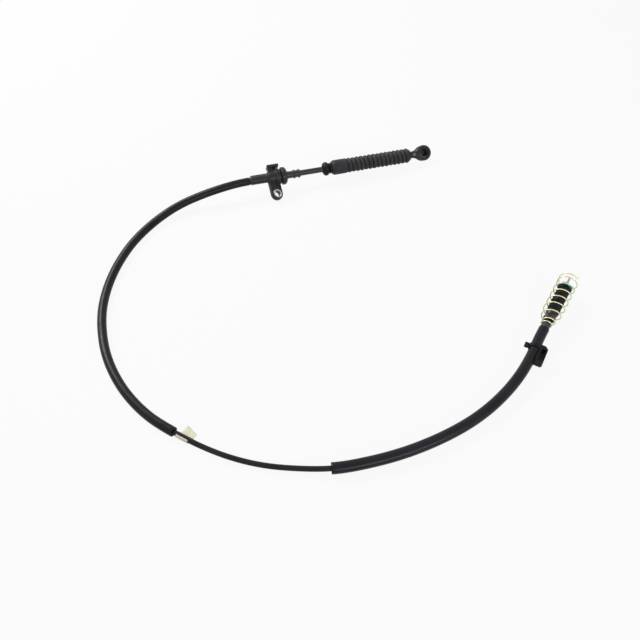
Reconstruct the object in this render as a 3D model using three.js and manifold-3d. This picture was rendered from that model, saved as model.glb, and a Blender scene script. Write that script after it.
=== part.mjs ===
// Transmission shift cable: a push-pull core in a conduit, with a bracket, bellows boot and rod-end eye
// at the head, and a spring, bellows and ring cap at the tail. Millimetres, +Z up, lying on z = 0.
import * as THREE from "three";
import { mergeVertices } from "three/addons/utils/BufferGeometryUtils.js";
import Module from "manifold-3d";

const wasm = await Module();
wasm.setup();

// Clearances
const SEAT_GAP = 0.3; // between two pieces that seat on each other
const SLIDE_GAP = 0.25; // round a rod that slides in its tube
const SWING_GAP = 0.4; // round the guide tube at its widest swing
const CORE_GAP = 0.5; // round the core wire
const SHEATH_GAP = 0.95; // of the first sheath round the conduit
const SLEEVE_GAP = 0.7; // of the second sleeve round the tail ferrule's skirt
const END_GAP = 2; // past the end of a rod's travel

// Motion
const ROD_TRAVEL = 20; // each way, of the rod at either end
const SWING_DEG = 7; // each way, of the guide tube in its socket

// Cable
const CORE_D = 2.4;
const CONDUIT_BORE_D = CORE_D + 2 * CORE_GAP;
const CONDUIT_WALL = 1.5;
const CONDUIT_D = CONDUIT_BORE_D + 2 * CONDUIT_WALL;
const SHEATH_WALL = 1.75;
const SHEATH_BORE_D = CONDUIT_D + 2 * SHEATH_GAP;
const SHEATH_D = SHEATH_BORE_D + 2 * SHEATH_WALL;
const SHEATH_LENGTH = 561.5;
const SKIRT_WALL = 0.9; // of the tail ferrule round the conduit
const SKIRT_D = CONDUIT_D + 2 * (SEAT_GAP + SKIRT_WALL);
const SLEEVE_WALL = 1.6;
const SLEEVE_BORE_D = SKIRT_D + 2 * SLEEVE_GAP;
const SLEEVE_D = SLEEVE_BORE_D + 2 * SLEEVE_WALL;
const BARE_LENGTH = 186.5; // of conduit between the sheath and the sleeve
const CABLE_STEP = 25; // between two sections of a cable solid

// Marker tape on the bare conduit
const TAPE_LENGTH = 16;
const TAPE_THICKNESS = 0.5;
const TAPE_START_GAP = 5;
const FLAG_LENGTH = 15.5;
const FLAG_REACH = 11.5;
const FLAG_SHORT_REACH = 7;
const FLAG_OFFSET = 4; // the flag starts this far along the band

// Clip on the sleeve
const CLIP_FROM_SLEEVE_END = 34; // the strap's centre
const STRAP_WIDTH = 5;
const STRAP_THICKNESS = 1.5;
const CLIP_BLOCK_LENGTH = 25;
const CLIP_BLOCK_WIDTH = 8.5;
const CLIP_BLOCK_HEIGHT = 12;
const CLIP_BLOCK_LEAD = 4; // of the block ahead of the strap's centre
const CLIP_CHAMFER = 4;
const CLIP_BACK_CHAMFER = 1.5;
const CLIP_POCKET_DEPTH = 5;
const CLIP_WALL = 1.6;
const KNOB_D = 7.5;
const KNOB_LENGTH = 5;
const KNOB_STEM_D = 4.5;
const KNOB_STEM_LENGTH = 0.4;

// Head bracket
const FERRULE_D = 12.8;
const FERRULE_LENGTH = 26.7;
const FERRULE_ROUND = 2;
const RIB_WIDTH = 3.4;
const RIB_RISE = 1.4; // above the ferrule
const BARREL_D = 20;
const BARREL_LENGTH = 13.4;
const BARREL_FLARE = 3; // the length over which the ferrule widens to the barrel
const COLLAR_D = 23.5;
const COLLAR_LENGTH = 7.2;
const CONDUIT_SEAT = 25.5; // of conduit inside the ferrule
const BUSHING_BORE_D = 9.6;
const BUSHING_WALL = 1.9;
const BUSHING_D = BUSHING_BORE_D + 2 * BUSHING_WALL;
const BUSHING_PROUD = 0.6;
const BOSS_WALL = 1.6; // of the boss round the bushing
const BOSS_D = BUSHING_D + 2 * (SEAT_GAP + BOSS_WALL);
const BOSS_RISE = 1.2;
const EAR_RIM = 0.4; // of the ear round the boss
const EAR_WIDTH = BOSS_D + 2 * EAR_RIM;
const EAR_REACH = 27.6; // from the cable's axis to the bushing's centre
const EAR_BEHIND_COLLAR = 10.8; // of the ear's middle behind the collar's face
const EAR_TWIST_DEG = 18; // of the ear's face towards the head
const FLOOR_GAP = 0.1; // under the lower edge of the ear's boss
const EAR_THICKNESS = 5;
const POST_WIDTH = 9.4;
const POST_DEPTH = 8;
const POST_BEHIND_COLLAR = 8; // of the post's middle behind the collar's face
const POST_REACH = 18.8; // from the cable's axis to the top of the saddle
const SADDLE_WIDTH = 18;
const SADDLE_DEPTH = 13;
const SADDLE_THICKNESS = 4;
const SADDLE_GROOVE_D = 8;
const SADDLE_GROOVE_DEPTH = 1.6;
const GUSSET_LENGTH = 4; // of the rib's rise to the post
const MARK_D = 4; // the small round boss on the barrel
const MARK_RISE = 0.8;
const MARK_BEHIND_EAR = 4;

// Head swivel
const ROD_D = 5.5;
const TUBE_BORE_D = ROD_D + 2 * SLIDE_GAP;
const TUBE_WALL = 2.35;
const TUBE_D = TUBE_BORE_D + 2 * TUBE_WALL;
const TUBE_THIN_WALL = 1.25;
const TUBE_THIN_D = TUBE_BORE_D + 2 * TUBE_THIN_WALL;
const TUBE_SHOULDER_RISE = 0.4;
const TUBE_SHOULDER_D = TUBE_D + 2 * TUBE_SHOULDER_RISE;
const TUBE_SHOULDER_LENGTH = 2.9;
const BEAD_RISE = 1.65;
const BEAD_D = TUBE_D + 2 * BEAD_RISE;
const BEAD_WIDTH = 2.6;
const BEAD_STATIONS = [23.6, 30.8]; // from the ball's centre
const BALL_D = 14;
const BALL_BEHIND_COLLAR = 0.8; // of the ball's centre behind the collar's face
const ISOLATOR_D = 21;
const ISOLATOR_LENGTH = 1.6;
const CAP_D = 26.7;
const CAP_LENGTH = 7.9;
const CAP_CHAMFER = 2.6;

// Head boot and its seal
const SEAL_FROM_BALL = 69.9;
const SEAL_BEAD_D = 20.7;
const SEAL_BEAD_LENGTH = 9.5;
const SEAL_WAIST_D = 16;
const SEAL_WAIST_LENGTH = 4.7;
const SEAL_IN_CUFF = 15.8;
const TUBE_SHORT_OF_SEAL = 2.9; // of the guide tube inside the seal
const CUFF_FROM_BALL = SEAL_FROM_BALL + SEAL_BEAD_LENGTH + SEAL_WAIST_LENGTH;
const SEAL_LENGTH = CUFF_FROM_BALL + SEAL_IN_CUFF - SEAL_FROM_BALL;
const TUBE_LENGTH = SEAL_FROM_BALL + SEAL_LENGTH - TUBE_SHORT_OF_SEAL; // from the ball's centre
const CUFF_D = 22.6;
const CUFF_LENGTH = 25.1;
const BOOT_FOLDS = 15;
const BOOT_PITCH = 6.87;
const BOOT_BORE_D = 14.4;
const BOOT_WALL = 1.55; // at the roots of the folds
const BOOT_ROOT_D = BOOT_BORE_D + 2 * BOOT_WALL;
const BOOT_COLLAR_LENGTH = 2.2;

// Head rod and eye
const ROD_FROM_BALL = ROD_TRAVEL + BALL_D / 2 - 1;
const ROD_GROOVE_DEPTH = 0.5;
const ROD_GROOVE_AT = 3; // from the shank's start
const EYE_BEYOND_BOOT = 23.2; // of the eye's centre
const EYE_D = 24.2;
const EYE_THICKNESS = 12.5;
const EYE_CHAMFER = 1.6;
const EYE_BORE_D = 15;
const EYE_ROLL_DEG = 50; // of the eye's face, from facing up towards facing the viewer
const NECK_D = 10.5;
const NECK_FLARE = 16; // from the eye's centre to where the neck starts to widen
const BOOT_COLLAR_WALL = 3.2;
const BOOT_COLLAR_D = NECK_D + 2 * (SEAT_GAP + BOOT_COLLAR_WALL);
const SHANK_INSIDE = 14; // of the shank inside the boot
const WINDOW_D = 5.6;
const WINDOW_DEPTH = 1;
const INSERT_WALL = 1.8;
const EYE_FLOOR = 3; // of the cup under the insert
const INSERT_RECESS = 2.2;

// Tail fittings, from the conduit's end towards the rod's tip
const SKIRT_LENGTH = 16;
const TAIL_FERRULE_D = 11.5;
const TAIL_FERRULE_LENGTH = 10.5;
const TAIL_FERRULE_LAP = 4; // of its head back over the conduit's end
const TAIL_ROD_D = 4.5;
const TAIL_BORE_D = TAIL_ROD_D + 2 * SLIDE_GAP;
const GROMMET_D = 9.8;
const GROMMET_LENGTH = 3.5;
const GROMMET_RIM = 0.8;
const GROMMET_GROOVE = 0.9;
const HEX_ACROSS = 13.4;
const HEX_LENGTH = 6;
const TAPER_D = 15.4;
const TAPER_LENGTH = 6;
const TAIL_TUBE_WALL = 1.5;
const TAIL_TUBE_D = TAIL_BORE_D + 2 * TAIL_TUBE_WALL;
const TAIL_TUBE_SEAT = 4; // of the tube inside the fitting
const SPIGOT_WALL = 0.6;
const SPIGOT_LENGTH = 5;
const SPIGOT_D = TAIL_TUBE_D + 2 * (SEAT_GAP + SPIGOT_WALL);
const TAIL_BELLOWS_BORE_D = SPIGOT_D + 2 * SEAT_GAP;
const TAIL_BELLOWS_WALL = 1.6;
const TAIL_FOLDS = 8;
const TAIL_FOLD_PITCH = 6.125;
const TAIL_FOLD_RISE = 1.7;
const TAIL_FOLD_ROOT_D = TAIL_BELLOWS_BORE_D + 2 * TAIL_BELLOWS_WALL;
const TAIL_FOLD_D = TAIL_FOLD_ROOT_D + 2 * TAIL_FOLD_RISE;
const RING_WALL = 0.8;
const RING_D = TAIL_FOLD_D + 2 * (SEAT_GAP + RING_WALL);
const RING_LENGTH = 4.8;
const RING_LIP = 1.6; // of the ring over the bellows' last fold
const TAIL_TIP_D = 2.6;
const TAIL_TIP_LENGTH = 16.5;

// Spring
const WIRE_D = 1.5;
const SPRING_D = 25.4; // mean
const SPRING_SMALL_D = TAIL_FERRULE_D + 2 * SEAT_GAP + WIRE_D; // mean, where it grips the ferrule
const SPRING_SEAT = 4.3; // of the wire's start behind the ferrule's end
const SPRING_GRIP_TURNS = 1;
const SPRING_GRIP_PITCH = 4.5;
const SPRING_CONE_TURNS = 2;
const SPRING_CONE_LENGTH = 22.7;
const SPRING_FULL_TURNS = 4.2;
const SPRING_PITCH = 12.2;
const SPRING_CLOSED_TURNS = 1.2;
const SPRING_CLOSED_PITCH = 6.1;
const SPRING_TURNS = SPRING_GRIP_TURNS + SPRING_CONE_TURNS + SPRING_FULL_TURNS + SPRING_CLOSED_TURNS;
const SPRING_STEPS_PER_TURN = 16;

const ROUND = 18; // sides of a turned piece

// Cable route: the middle of the conduit, from its end in the bracket to its end in the tail ferrule
const ROUTE = [
  [-198.5, 104.9, 22.1],
  [-214.7, 99.9, 22.7],
  [-229, 95.5, 23],
  [-245, 89.9, 22.8],
  [-262, 83.6, 21.6],
  [-281, 76.6, 19.1],
  [-299, 69.2, 16.2],
  [-316, 61, 13.2],
  [-333.5, 49.2, 10.2],
  [-350.8, 32.8, 7.5],
  [-364.8, 14.5, 6.1],
  [-376.8, -7, 5.9],
  [-387, -32, 5.9],
  [-396.6, -69, 5.9],
  [-401, -108, 5.9],
  [-399.8, -145, 5.9],
  [-393, -180, 5.9],
  [-381, -216, 5.9],
  [-363.3, -250, 5.9],
  [-340.5, -280.8, 5.9],
  [-312, -308, 5.9],
  [-279, -329.6, 6],
  [-249, -345.4, 5],
  [-216, -358.6, 3.9],
  [-181, -367.8, 3.6],
  [-143, -372.6, 4.6],
  [-101, -373.6, 6.8],
  [-61.6, -366.2, 6.7],
  [-17.8, -352.8, 6.7],
  [27.8, -332.1, 6.7],
  [64.6, -309.3, 6.8],
  [96, -282.8, 7.4],
  [122.4, -253.6, 8.6],
  [143, -223.6, 10.6],
  [157.9, -196.9, 11.9],
  [168.9, -178.8, 13.3],
];

// Colours and finishes
const FINISH = {
  casting: { color: 0x1d1e20, roughness: 0.5, metalness: 0.0 },
  steel: { color: 0xb9babb, roughness: 0.28, metalness: 1.0 },
  blackSteel: { color: 0x26262a, roughness: 0.42, metalness: 0.3 },
  rubber: { color: 0x232426, roughness: 0.72, metalness: 0.0 },
  bootRubber: { color: 0x2b2a2d, roughness: 0.66, metalness: 0.0 },
  sheath: { color: 0x212122, roughness: 0.55, metalness: 0.0 },
  jacket: { color: 0x17181b, roughness: 0.38, metalness: 0.0 },
  sleeve: { color: 0x222126, roughness: 0.5, metalness: 0.0 },
  insert: { color: 0x7e8f99, roughness: 0.45, metalness: 0.0 },
  tape: { color: 0xdfdcb8, roughness: 0.6, metalness: 0.0 },
  clip: { color: 0x121214, roughness: 0.45, metalness: 0.0 },
  brown: { color: 0x2d2220, roughness: 0.4, metalness: 0.1 },
  teal: { color: 0x1f8a80, roughness: 0.4, metalness: 0.0 },
  zinc: { color: 0xc9bf72, roughness: 0.35, metalness: 0.8 },
  core: { color: 0x9a9590, roughness: 0.35, metalness: 1.0 },
};

// Solids
function toSolid(geometry) {
  const bare = geometry.index ? geometry.toNonIndexed() : geometry.clone();
  bare.deleteAttribute("normal");
  bare.deleteAttribute("uv");
  const merged = mergeVertices(bare, 1e-4);
  const vertProperties = merged.attributes.position.array;
  const triVerts = new Uint32Array(merged.index.array);
  return new wasm.Manifold(new wasm.Mesh({ numProp: 3, vertProperties, triVerts }));
}

function toGeometry(solid) {
  const made = solid.getMesh();
  const geometry = new THREE.BufferGeometry();
  geometry.setAttribute("position", new THREE.BufferAttribute(new Float32Array(made.vertProperties), 3));
  geometry.setIndex(new THREE.BufferAttribute(new Uint32Array(made.triVerts), 1));
  geometry.computeVertexNormals();
  return geometry;
}

function carve(joined, cuts) {
  let solid = toSolid(joined[0]);
  for (const g of joined.slice(1)) solid = solid.add(toSolid(g));
  for (const g of cuts) solid = solid.subtract(toSolid(g));
  return toGeometry(solid);
}

function piece(name, geometry, finish) {
  const mesh = new THREE.Mesh(geometry, new THREE.MeshStandardMaterial(finish));
  mesh.name = name;
  return mesh;
}

// A turned solid along +X from [station, radius] pairs that start and end on the axis
function turned(pairs, sides = ROUND) {
  const points = pairs.map(([station, radius]) => new THREE.Vector2(radius, station));
  return new THREE.LatheGeometry(points, sides).rotateZ(-Math.PI / 2);
}

function rod(from, to, diameter, sides = ROUND) {
  const r = diameter / 2;
  return turned([[from, 0], [from, r], [to, r], [to, 0]], sides);
}

// A turned ring along +X: the outside pairs run forward, and a plain bore closes it
function ringOf(outside, boreD, sides = ROUND) {
  const first = outside[0][0];
  const last = outside[outside.length - 1][0];
  const r = boreD / 2;
  return turned([...outside, [last, r], [first, r], outside[0]], sides);
}

function tubeAlong(from, to, outerD, innerD, sides = ROUND) {
  return ringOf([[from, outerD / 2], [to, outerD / 2]], innerD, sides);
}

function box(sizeX, sizeY, sizeZ, x, y, z) {
  return new THREE.BoxGeometry(sizeX, sizeY, sizeZ).translate(x, y, z);
}

// A round bar along Z, at x and y
function bar(diameter, length, x, y, z, sides = ROUND) {
  const geometry = new THREE.CylinderGeometry(diameter / 2, diameter / 2, length, sides);
  return geometry.rotateX(Math.PI / 2).translate(x, y, z);
}

// An outline in XY with a thickness along Z, centred on z = 0
function plate(outline, thickness) {
  const shape = new THREE.Shape(outline.map(([x, y]) => new THREE.Vector2(x, y)));
  const options = { depth: thickness, bevelEnabled: false };
  return new THREE.ExtrudeGeometry(shape, options).translate(0, 0, -thickness / 2);
}

function arcPoints(x, y, radius, fromDeg, toDeg, count) {
  return Array.from({ length: count + 1 }, (_, i) => {
    const angle = THREE.MathUtils.degToRad(fromDeg + ((toDeg - fromDeg) * i) / count);
    return [x + radius * Math.cos(angle), y + radius * Math.sin(angle)];
  });
}

// The crests and roots of a bellows as [station, radius] pairs
function folds(start, count, pitch, crestD, rootD) {
  const pairs = [];
  for (let i = 0; i < count; i += 1) {
    const at = start + i * pitch;
    pairs.push([at, rootD / 2], [at + 0.3 * pitch, crestD / 2], [at + 0.6 * pitch, crestD / 2]);
  }
  pairs.push([start + (count - 0.1) * pitch, rootD / 2]);
  return pairs;
}

// The cable's route
const route = new THREE.CatmullRomCurve3(ROUTE.map((p) => new THREE.Vector3(...p)), false, "centripetal");
route.arcLengthDivisions = 2000;
const ROUTE_LENGTH = route.getLength();

class Stretch extends THREE.Curve {
  constructor(from, to) {
    super();
    this.from = from;
    this.to = to;
  }

  getPoint(t, target = new THREE.Vector3()) {
    return route.getPointAt((this.from + (this.to - this.from) * t) / ROUTE_LENGTH, target);
  }
}

function sectionPoints(diameter, sides) {
  return arcPoints(0, 0, diameter / 2, 0, 360, sides)
    .slice(0, sides)
    .map(([x, y]) => new THREE.Vector2(x, y));
}

// A pipe of the route between two distances along it; boreD 0 makes it solid
function cableSolid(from, to, outerD, boreD, sides) {
  const shape = new THREE.Shape(sectionPoints(outerD, sides));
  if (boreD) shape.holes.push(new THREE.Path(sectionPoints(boreD, sides).reverse()));
  const steps = Math.max(2, Math.round((to - from) / CABLE_STEP));
  return new THREE.ExtrudeGeometry(shape, { steps, bevelEnabled: false, extrudePath: new Stretch(from, to) });
}

// A group at a place, with its +X along a direction and its +Y level
function frameAt(place, direction) {
  const group = new THREE.Group();
  group.position.copy(place);
  const yaw = Math.atan2(direction.y, direction.x);
  const pitch = Math.asin(direction.z / direction.length());
  group.rotation.set(0, -pitch, yaw, "ZYX");
  return group;
}

function frameOnRoute(distance) {
  const u = distance / ROUTE_LENGTH;
  return frameAt(route.getPointAt(u), route.getTangentAt(u));
}

// Stations along the head's axis, from the conduit's end
const BARREL_START = FERRULE_LENGTH - CONDUIT_SEAT;
const COLLAR_START = BARREL_START + BARREL_LENGTH;
const COLLAR_END = COLLAR_START + COLLAR_LENGTH;
const EAR_AT = COLLAR_END - EAR_BEHIND_COLLAR;
const POST_AT = COLLAR_END - POST_BEHIND_COLLAR;
const BALL_AT = COLLAR_END - BALL_BEHIND_COLLAR;
const ISOLATOR_START = COLLAR_END + SEAT_GAP;
const CAP_START = ISOLATOR_START + ISOLATOR_LENGTH + SEAT_GAP;
const CAP_END = CAP_START + CAP_LENGTH;

// Turns what stands along the ear, so that the ear's face looks towards the head
function twisted(geometry) {
  return geometry
    .translate(-EAR_AT, 0, 0)
    .rotateY(THREE.MathUtils.degToRad(EAR_TWIST_DEG))
    .translate(EAR_AT, 0, 0);
}

// The turn about the cable's axis that brings the lower edge of the ear's boss down to the floor
function earDrop(axisHeight) {
  const twist = THREE.MathUtils.degToRad(EAR_TWIST_DEG);
  const lift = (EAR_THICKNESS / 2 + BOSS_RISE) * Math.cos(twist);
  const depth = (turn) => EAR_REACH * Math.sin(turn) + lift * Math.cos(turn)
    + (BOSS_D / 2) * Math.hypot(Math.sin(turn), Math.cos(turn) * Math.sin(twist));
  let low = 0;
  let high = Math.PI / 3;
  for (let i = 0; i < 40; i += 1) {
    const middle = (low + high) / 2;
    if (depth(middle) > axisHeight - FLOOR_GAP) high = middle;
    else low = middle;
  }
  return low;
}

function postOutline() {
  const saddleFoot = POST_REACH - SADDLE_THICKNESS;
  const left = POST_AT - SADDLE_WIDTH / 2;
  const right = POST_AT + SADDLE_WIDTH / 2;
  const inner = POST_AT + POST_WIDTH / 2;
  return [
    [left + 1.5, 2],
    [inner + 2, 2],
    [inner - 1, saddleFoot - 3],
    [inner, saddleFoot - 1],
    [right, saddleFoot + 1.5],
    [right, POST_REACH],
    [left, POST_REACH],
  ];
}

function headBracket(axisHeight) {
  const mouth = -CONDUIT_SEAT;
  const ferruleR = FERRULE_D / 2;
  const body = turned([
    [mouth, 0],
    [mouth, ferruleR - FERRULE_ROUND],
    [mouth + FERRULE_ROUND * 0.4, ferruleR - FERRULE_ROUND * 0.4],
    [mouth + FERRULE_ROUND, ferruleR],
    [BARREL_START, ferruleR],
    [BARREL_START + BARREL_FLARE, BARREL_D / 2],
    [COLLAR_START, BARREL_D / 2],
    [COLLAR_START, COLLAR_D / 2],
    [COLLAR_END, COLLAR_D / 2],
    [COLLAR_END, 0],
  ]);
  const postStart = POST_AT - SADDLE_WIDTH / 2 + 1.5;
  const ribTop = ferruleR + RIB_RISE;
  const rib = plate(
    [
      [mouth + FERRULE_ROUND, 0],
      [postStart + 1, 0],
      [postStart + 1, ribTop + GUSSET_LENGTH],
      [postStart, ribTop + GUSSET_LENGTH],
      [postStart - GUSSET_LENGTH, ribTop],
      [mouth + FERRULE_ROUND + 1, ribTop],
      [mouth + FERRULE_ROUND, ferruleR],
    ],
    RIB_WIDTH,
  );
  const half = EAR_WIDTH / 2;
  const fullRise = EAR_THICKNESS + 2 * BOSS_RISE;
  const ear = twisted(plate(
    [[EAR_AT + half, -2], [EAR_AT - half, -2], ...arcPoints(EAR_AT, -EAR_REACH, half, 180, 360, 12)],
    EAR_THICKNESS,
  ));
  const boss = twisted(bar(BOSS_D, fullRise, EAR_AT, -EAR_REACH, 0));
  const post = plate(postOutline(), POST_DEPTH);
  const saddle = box(SADDLE_WIDTH, SADDLE_THICKNESS, SADDLE_DEPTH, POST_AT, POST_REACH - SADDLE_THICKNESS / 2, 0);
  const markTop = BARREL_D / 2 + MARK_RISE;
  const mark = bar(MARK_D, markTop, EAR_AT - MARK_BEHIND_EAR, 0, markTop / 2, 12);
  const socketD = BALL_D + 2 * SEAT_GAP;
  const groove = rod(POST_AT - SADDLE_WIDTH, POST_AT + SADDLE_WIDTH, SADDLE_GROOVE_D)
    .translate(0, POST_REACH + SADDLE_GROOVE_D / 2 - SADDLE_GROOVE_DEPTH, 0);
  const cuts = [
    rod(mouth - 1, SEAT_GAP, CONDUIT_D + 2 * SEAT_GAP),
    rod(0, COLLAR_END + 1, TUBE_BORE_D),
    rod(BALL_AT - BALL_D / 2 - SEAT_GAP, COLLAR_END + 1, socketD),
    twisted(bar(BUSHING_D + 2 * SEAT_GAP, fullRise + 2, EAR_AT, -EAR_REACH, 0)),
    groove,
  ];
  const mesh = piece("head_bracket", carve([body, rib, ear, boss, post, saddle, mark], cuts), FINISH.casting);
  const bushingHalf = fullRise / 2 + BUSHING_PROUD;
  const bushing = piece(
    "ear_bushing",
    twisted(
      tubeAlong(-bushingHalf, bushingHalf, BUSHING_D, BUSHING_BORE_D)
        .rotateY(Math.PI / 2)
        .translate(EAR_AT, -EAR_REACH, 0),
    ),
    FINISH.steel,
  );
  const plane = new THREE.Group();
  plane.rotation.x = earDrop(axisHeight);
  plane.add(mesh, bushing);
  return plane;
}

function isolatorRing() {
  return piece(
    "isolator_ring",
    tubeAlong(ISOLATOR_START, ISOLATOR_START + ISOLATOR_LENGTH, ISOLATOR_D, BALL_D + 2 * SEAT_GAP),
    FINISH.rubber,
  );
}

// The mouth widens outwards from the ball's seat, so that the guide tube can swing in it.
function flangeCap() {
  const spread = Math.tan(THREE.MathUtils.degToRad(SWING_DEG));
  const seatR = BALL_D / 2 + SEAT_GAP;
  const throatR = TUBE_D / 2 + SWING_GAP;
  // The seat ends where its sphere meets the cone of the mouth.
  const grade = 1 + spread * spread;
  const seatEnd = (Math.sqrt(grade * seatR * seatR - throatR * throatR) - throatR * spread) / grade;
  const seatStart = CAP_START - BALL_AT;
  const seat = Array.from({ length: 4 }, (_, i) => {
    const reach = seatEnd + ((seatStart - seatEnd) * i) / 3;
    return [BALL_AT + reach, Math.sqrt(seatR * seatR - reach * reach)];
  });
  const mouthR = TUBE_SHOULDER_D / 2 + (CAP_END - BALL_AT) * spread + SWING_GAP;
  return piece(
    "flange_cap",
    turned([
      [CAP_START, CAP_D / 2],
      [CAP_END - CAP_CHAMFER, CAP_D / 2],
      [CAP_END, CAP_D / 2 - CAP_CHAMFER],
      [CAP_END, mouthR],
      ...seat,
      [CAP_START, CAP_D / 2],
    ]),
    FINISH.casting,
  );
}

function guideTube() {
  const pairs = [];
  const ballR = BALL_D / 2;
  const boreR = TUBE_BORE_D / 2;
  const back = -Math.sqrt(ballR * ballR - boreR * boreR) + 0.4;
  const front = Math.sqrt(ballR * ballR - (TUBE_D / 2) ** 2);
  for (let i = 0; i <= 8; i += 1) {
    const reach = back + ((front - back) * i) / 8;
    pairs.push([BALL_AT + reach, Math.sqrt(ballR * ballR - reach * reach)]);
  }
  const shoulder = CAP_END + SEAT_GAP;
  const bead = (station) => [
    [station - BEAD_WIDTH / 2, TUBE_D / 2],
    [station - BEAD_WIDTH / 4, BEAD_D / 2],
    [station + BEAD_WIDTH / 4, BEAD_D / 2],
    [station + BEAD_WIDTH / 2, TUBE_D / 2],
  ];
  const beads = BEAD_STATIONS.flatMap((at) => bead(BALL_AT + at));
  const thinFrom = BALL_AT + BEAD_STATIONS[1] + BEAD_WIDTH;
  pairs.push(
    [shoulder, TUBE_D / 2],
    [shoulder, TUBE_SHOULDER_D / 2],
    [shoulder + TUBE_SHOULDER_LENGTH, TUBE_SHOULDER_D / 2],
    [shoulder + TUBE_SHOULDER_LENGTH, TUBE_D / 2],
    ...beads,
    [thinFrom, TUBE_D / 2],
    [thinFrom, TUBE_THIN_D / 2],
    [BALL_AT + TUBE_LENGTH, TUBE_THIN_D / 2],
  );
  return piece("head_guide_tube", ringOf(pairs, TUBE_BORE_D), FINISH.blackSteel);
}

function endSeal() {
  const start = BALL_AT + SEAL_FROM_BALL;
  const beadEnd = start + SEAL_BEAD_LENGTH;
  const tubeR = TUBE_THIN_D / 2 + SEAT_GAP;
  const innerD = BOOT_BORE_D - 2 * SEAT_GAP;
  return piece(
    "boot_seal",
    turned([
      [start + 2, SEAL_BEAD_D / 2 - 3.2],
      [start, SEAL_BEAD_D / 2 - 2.2],
      [start + 0.8, SEAL_BEAD_D / 2 - 0.6],
      [start + 3, SEAL_BEAD_D / 2],
      [beadEnd - 3.4, SEAL_BEAD_D / 2],
      [beadEnd - 1.2, SEAL_BEAD_D / 2 - 0.8],
      [beadEnd, SEAL_WAIST_D / 2],
      [BALL_AT + CUFF_FROM_BALL - SEAT_GAP, SEAL_WAIST_D / 2],
      [BALL_AT + CUFF_FROM_BALL - SEAT_GAP, innerD / 2],
      [start + SEAL_LENGTH, innerD / 2],
      [start + SEAL_LENGTH, tubeR],
      [start + 4, tubeR],
      [start + 2, SEAL_BEAD_D / 2 - 3.2],
    ]),
    FINISH.rubber,
  );
}

function headBoot() {
  const start = BALL_AT + CUFF_FROM_BALL;
  const cuffEnd = start + CUFF_LENGTH;
  const foldsEnd = cuffEnd + BOOT_FOLDS * BOOT_PITCH;
  const outside = [
    [start, CUFF_D / 2 - 2.6],
    [start + 0.8, CUFF_D / 2 - 1],
    [start + 2.8, CUFF_D / 2],
    [cuffEnd - 0.6, CUFF_D / 2],
    ...folds(cuffEnd, BOOT_FOLDS, BOOT_PITCH, CUFF_D, BOOT_ROOT_D),
    [foldsEnd, BOOT_COLLAR_D / 2],
    [foldsEnd + BOOT_COLLAR_LENGTH, BOOT_COLLAR_D / 2],
  ];
  const r = BOOT_BORE_D / 2;
  const neckR = NECK_D / 2 + SEAT_GAP;
  return piece(
    "head_boot",
    turned([
      ...outside,
      [foldsEnd + BOOT_COLLAR_LENGTH, neckR],
      [foldsEnd - BOOT_PITCH * 0.4, neckR],
      [foldsEnd - BOOT_PITCH, r],
      [start, r],
      outside[0],
    ]),
    FINISH.bootRubber,
  );
}

// Where the boot's collar starts, which the eye's shank runs into
const BOOT_COLLAR_START = BALL_AT + CUFF_FROM_BALL + CUFF_LENGTH + BOOT_FOLDS * BOOT_PITCH;
const EYE_AT = BOOT_COLLAR_START + BOOT_COLLAR_LENGTH + EYE_BEYOND_BOOT;
const SHANK_START = BOOT_COLLAR_START + BOOT_COLLAR_LENGTH - SHANK_INSIDE;

function headRod() {
  const end = SHANK_START + SHANK_INSIDE;
  const start = BALL_AT + ROD_FROM_BALL;
  const r = ROD_D / 2;
  const groove = r - ROD_GROOVE_DEPTH;
  const grooveStart = SHANK_START + ROD_GROOVE_AT;
  return piece(
    "head_rod",
    turned([
      [start, 0],
      [start, r - 0.5],
      [start + 0.5, r],
      [grooveStart, r],
      [grooveStart, groove],
      [grooveStart + ROD_GROOVE_AT, groove],
      [grooveStart + ROD_GROOVE_AT, r],
      [end, r],
      [end, 0],
    ]),
    FINISH.steel,
  );
}

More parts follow.
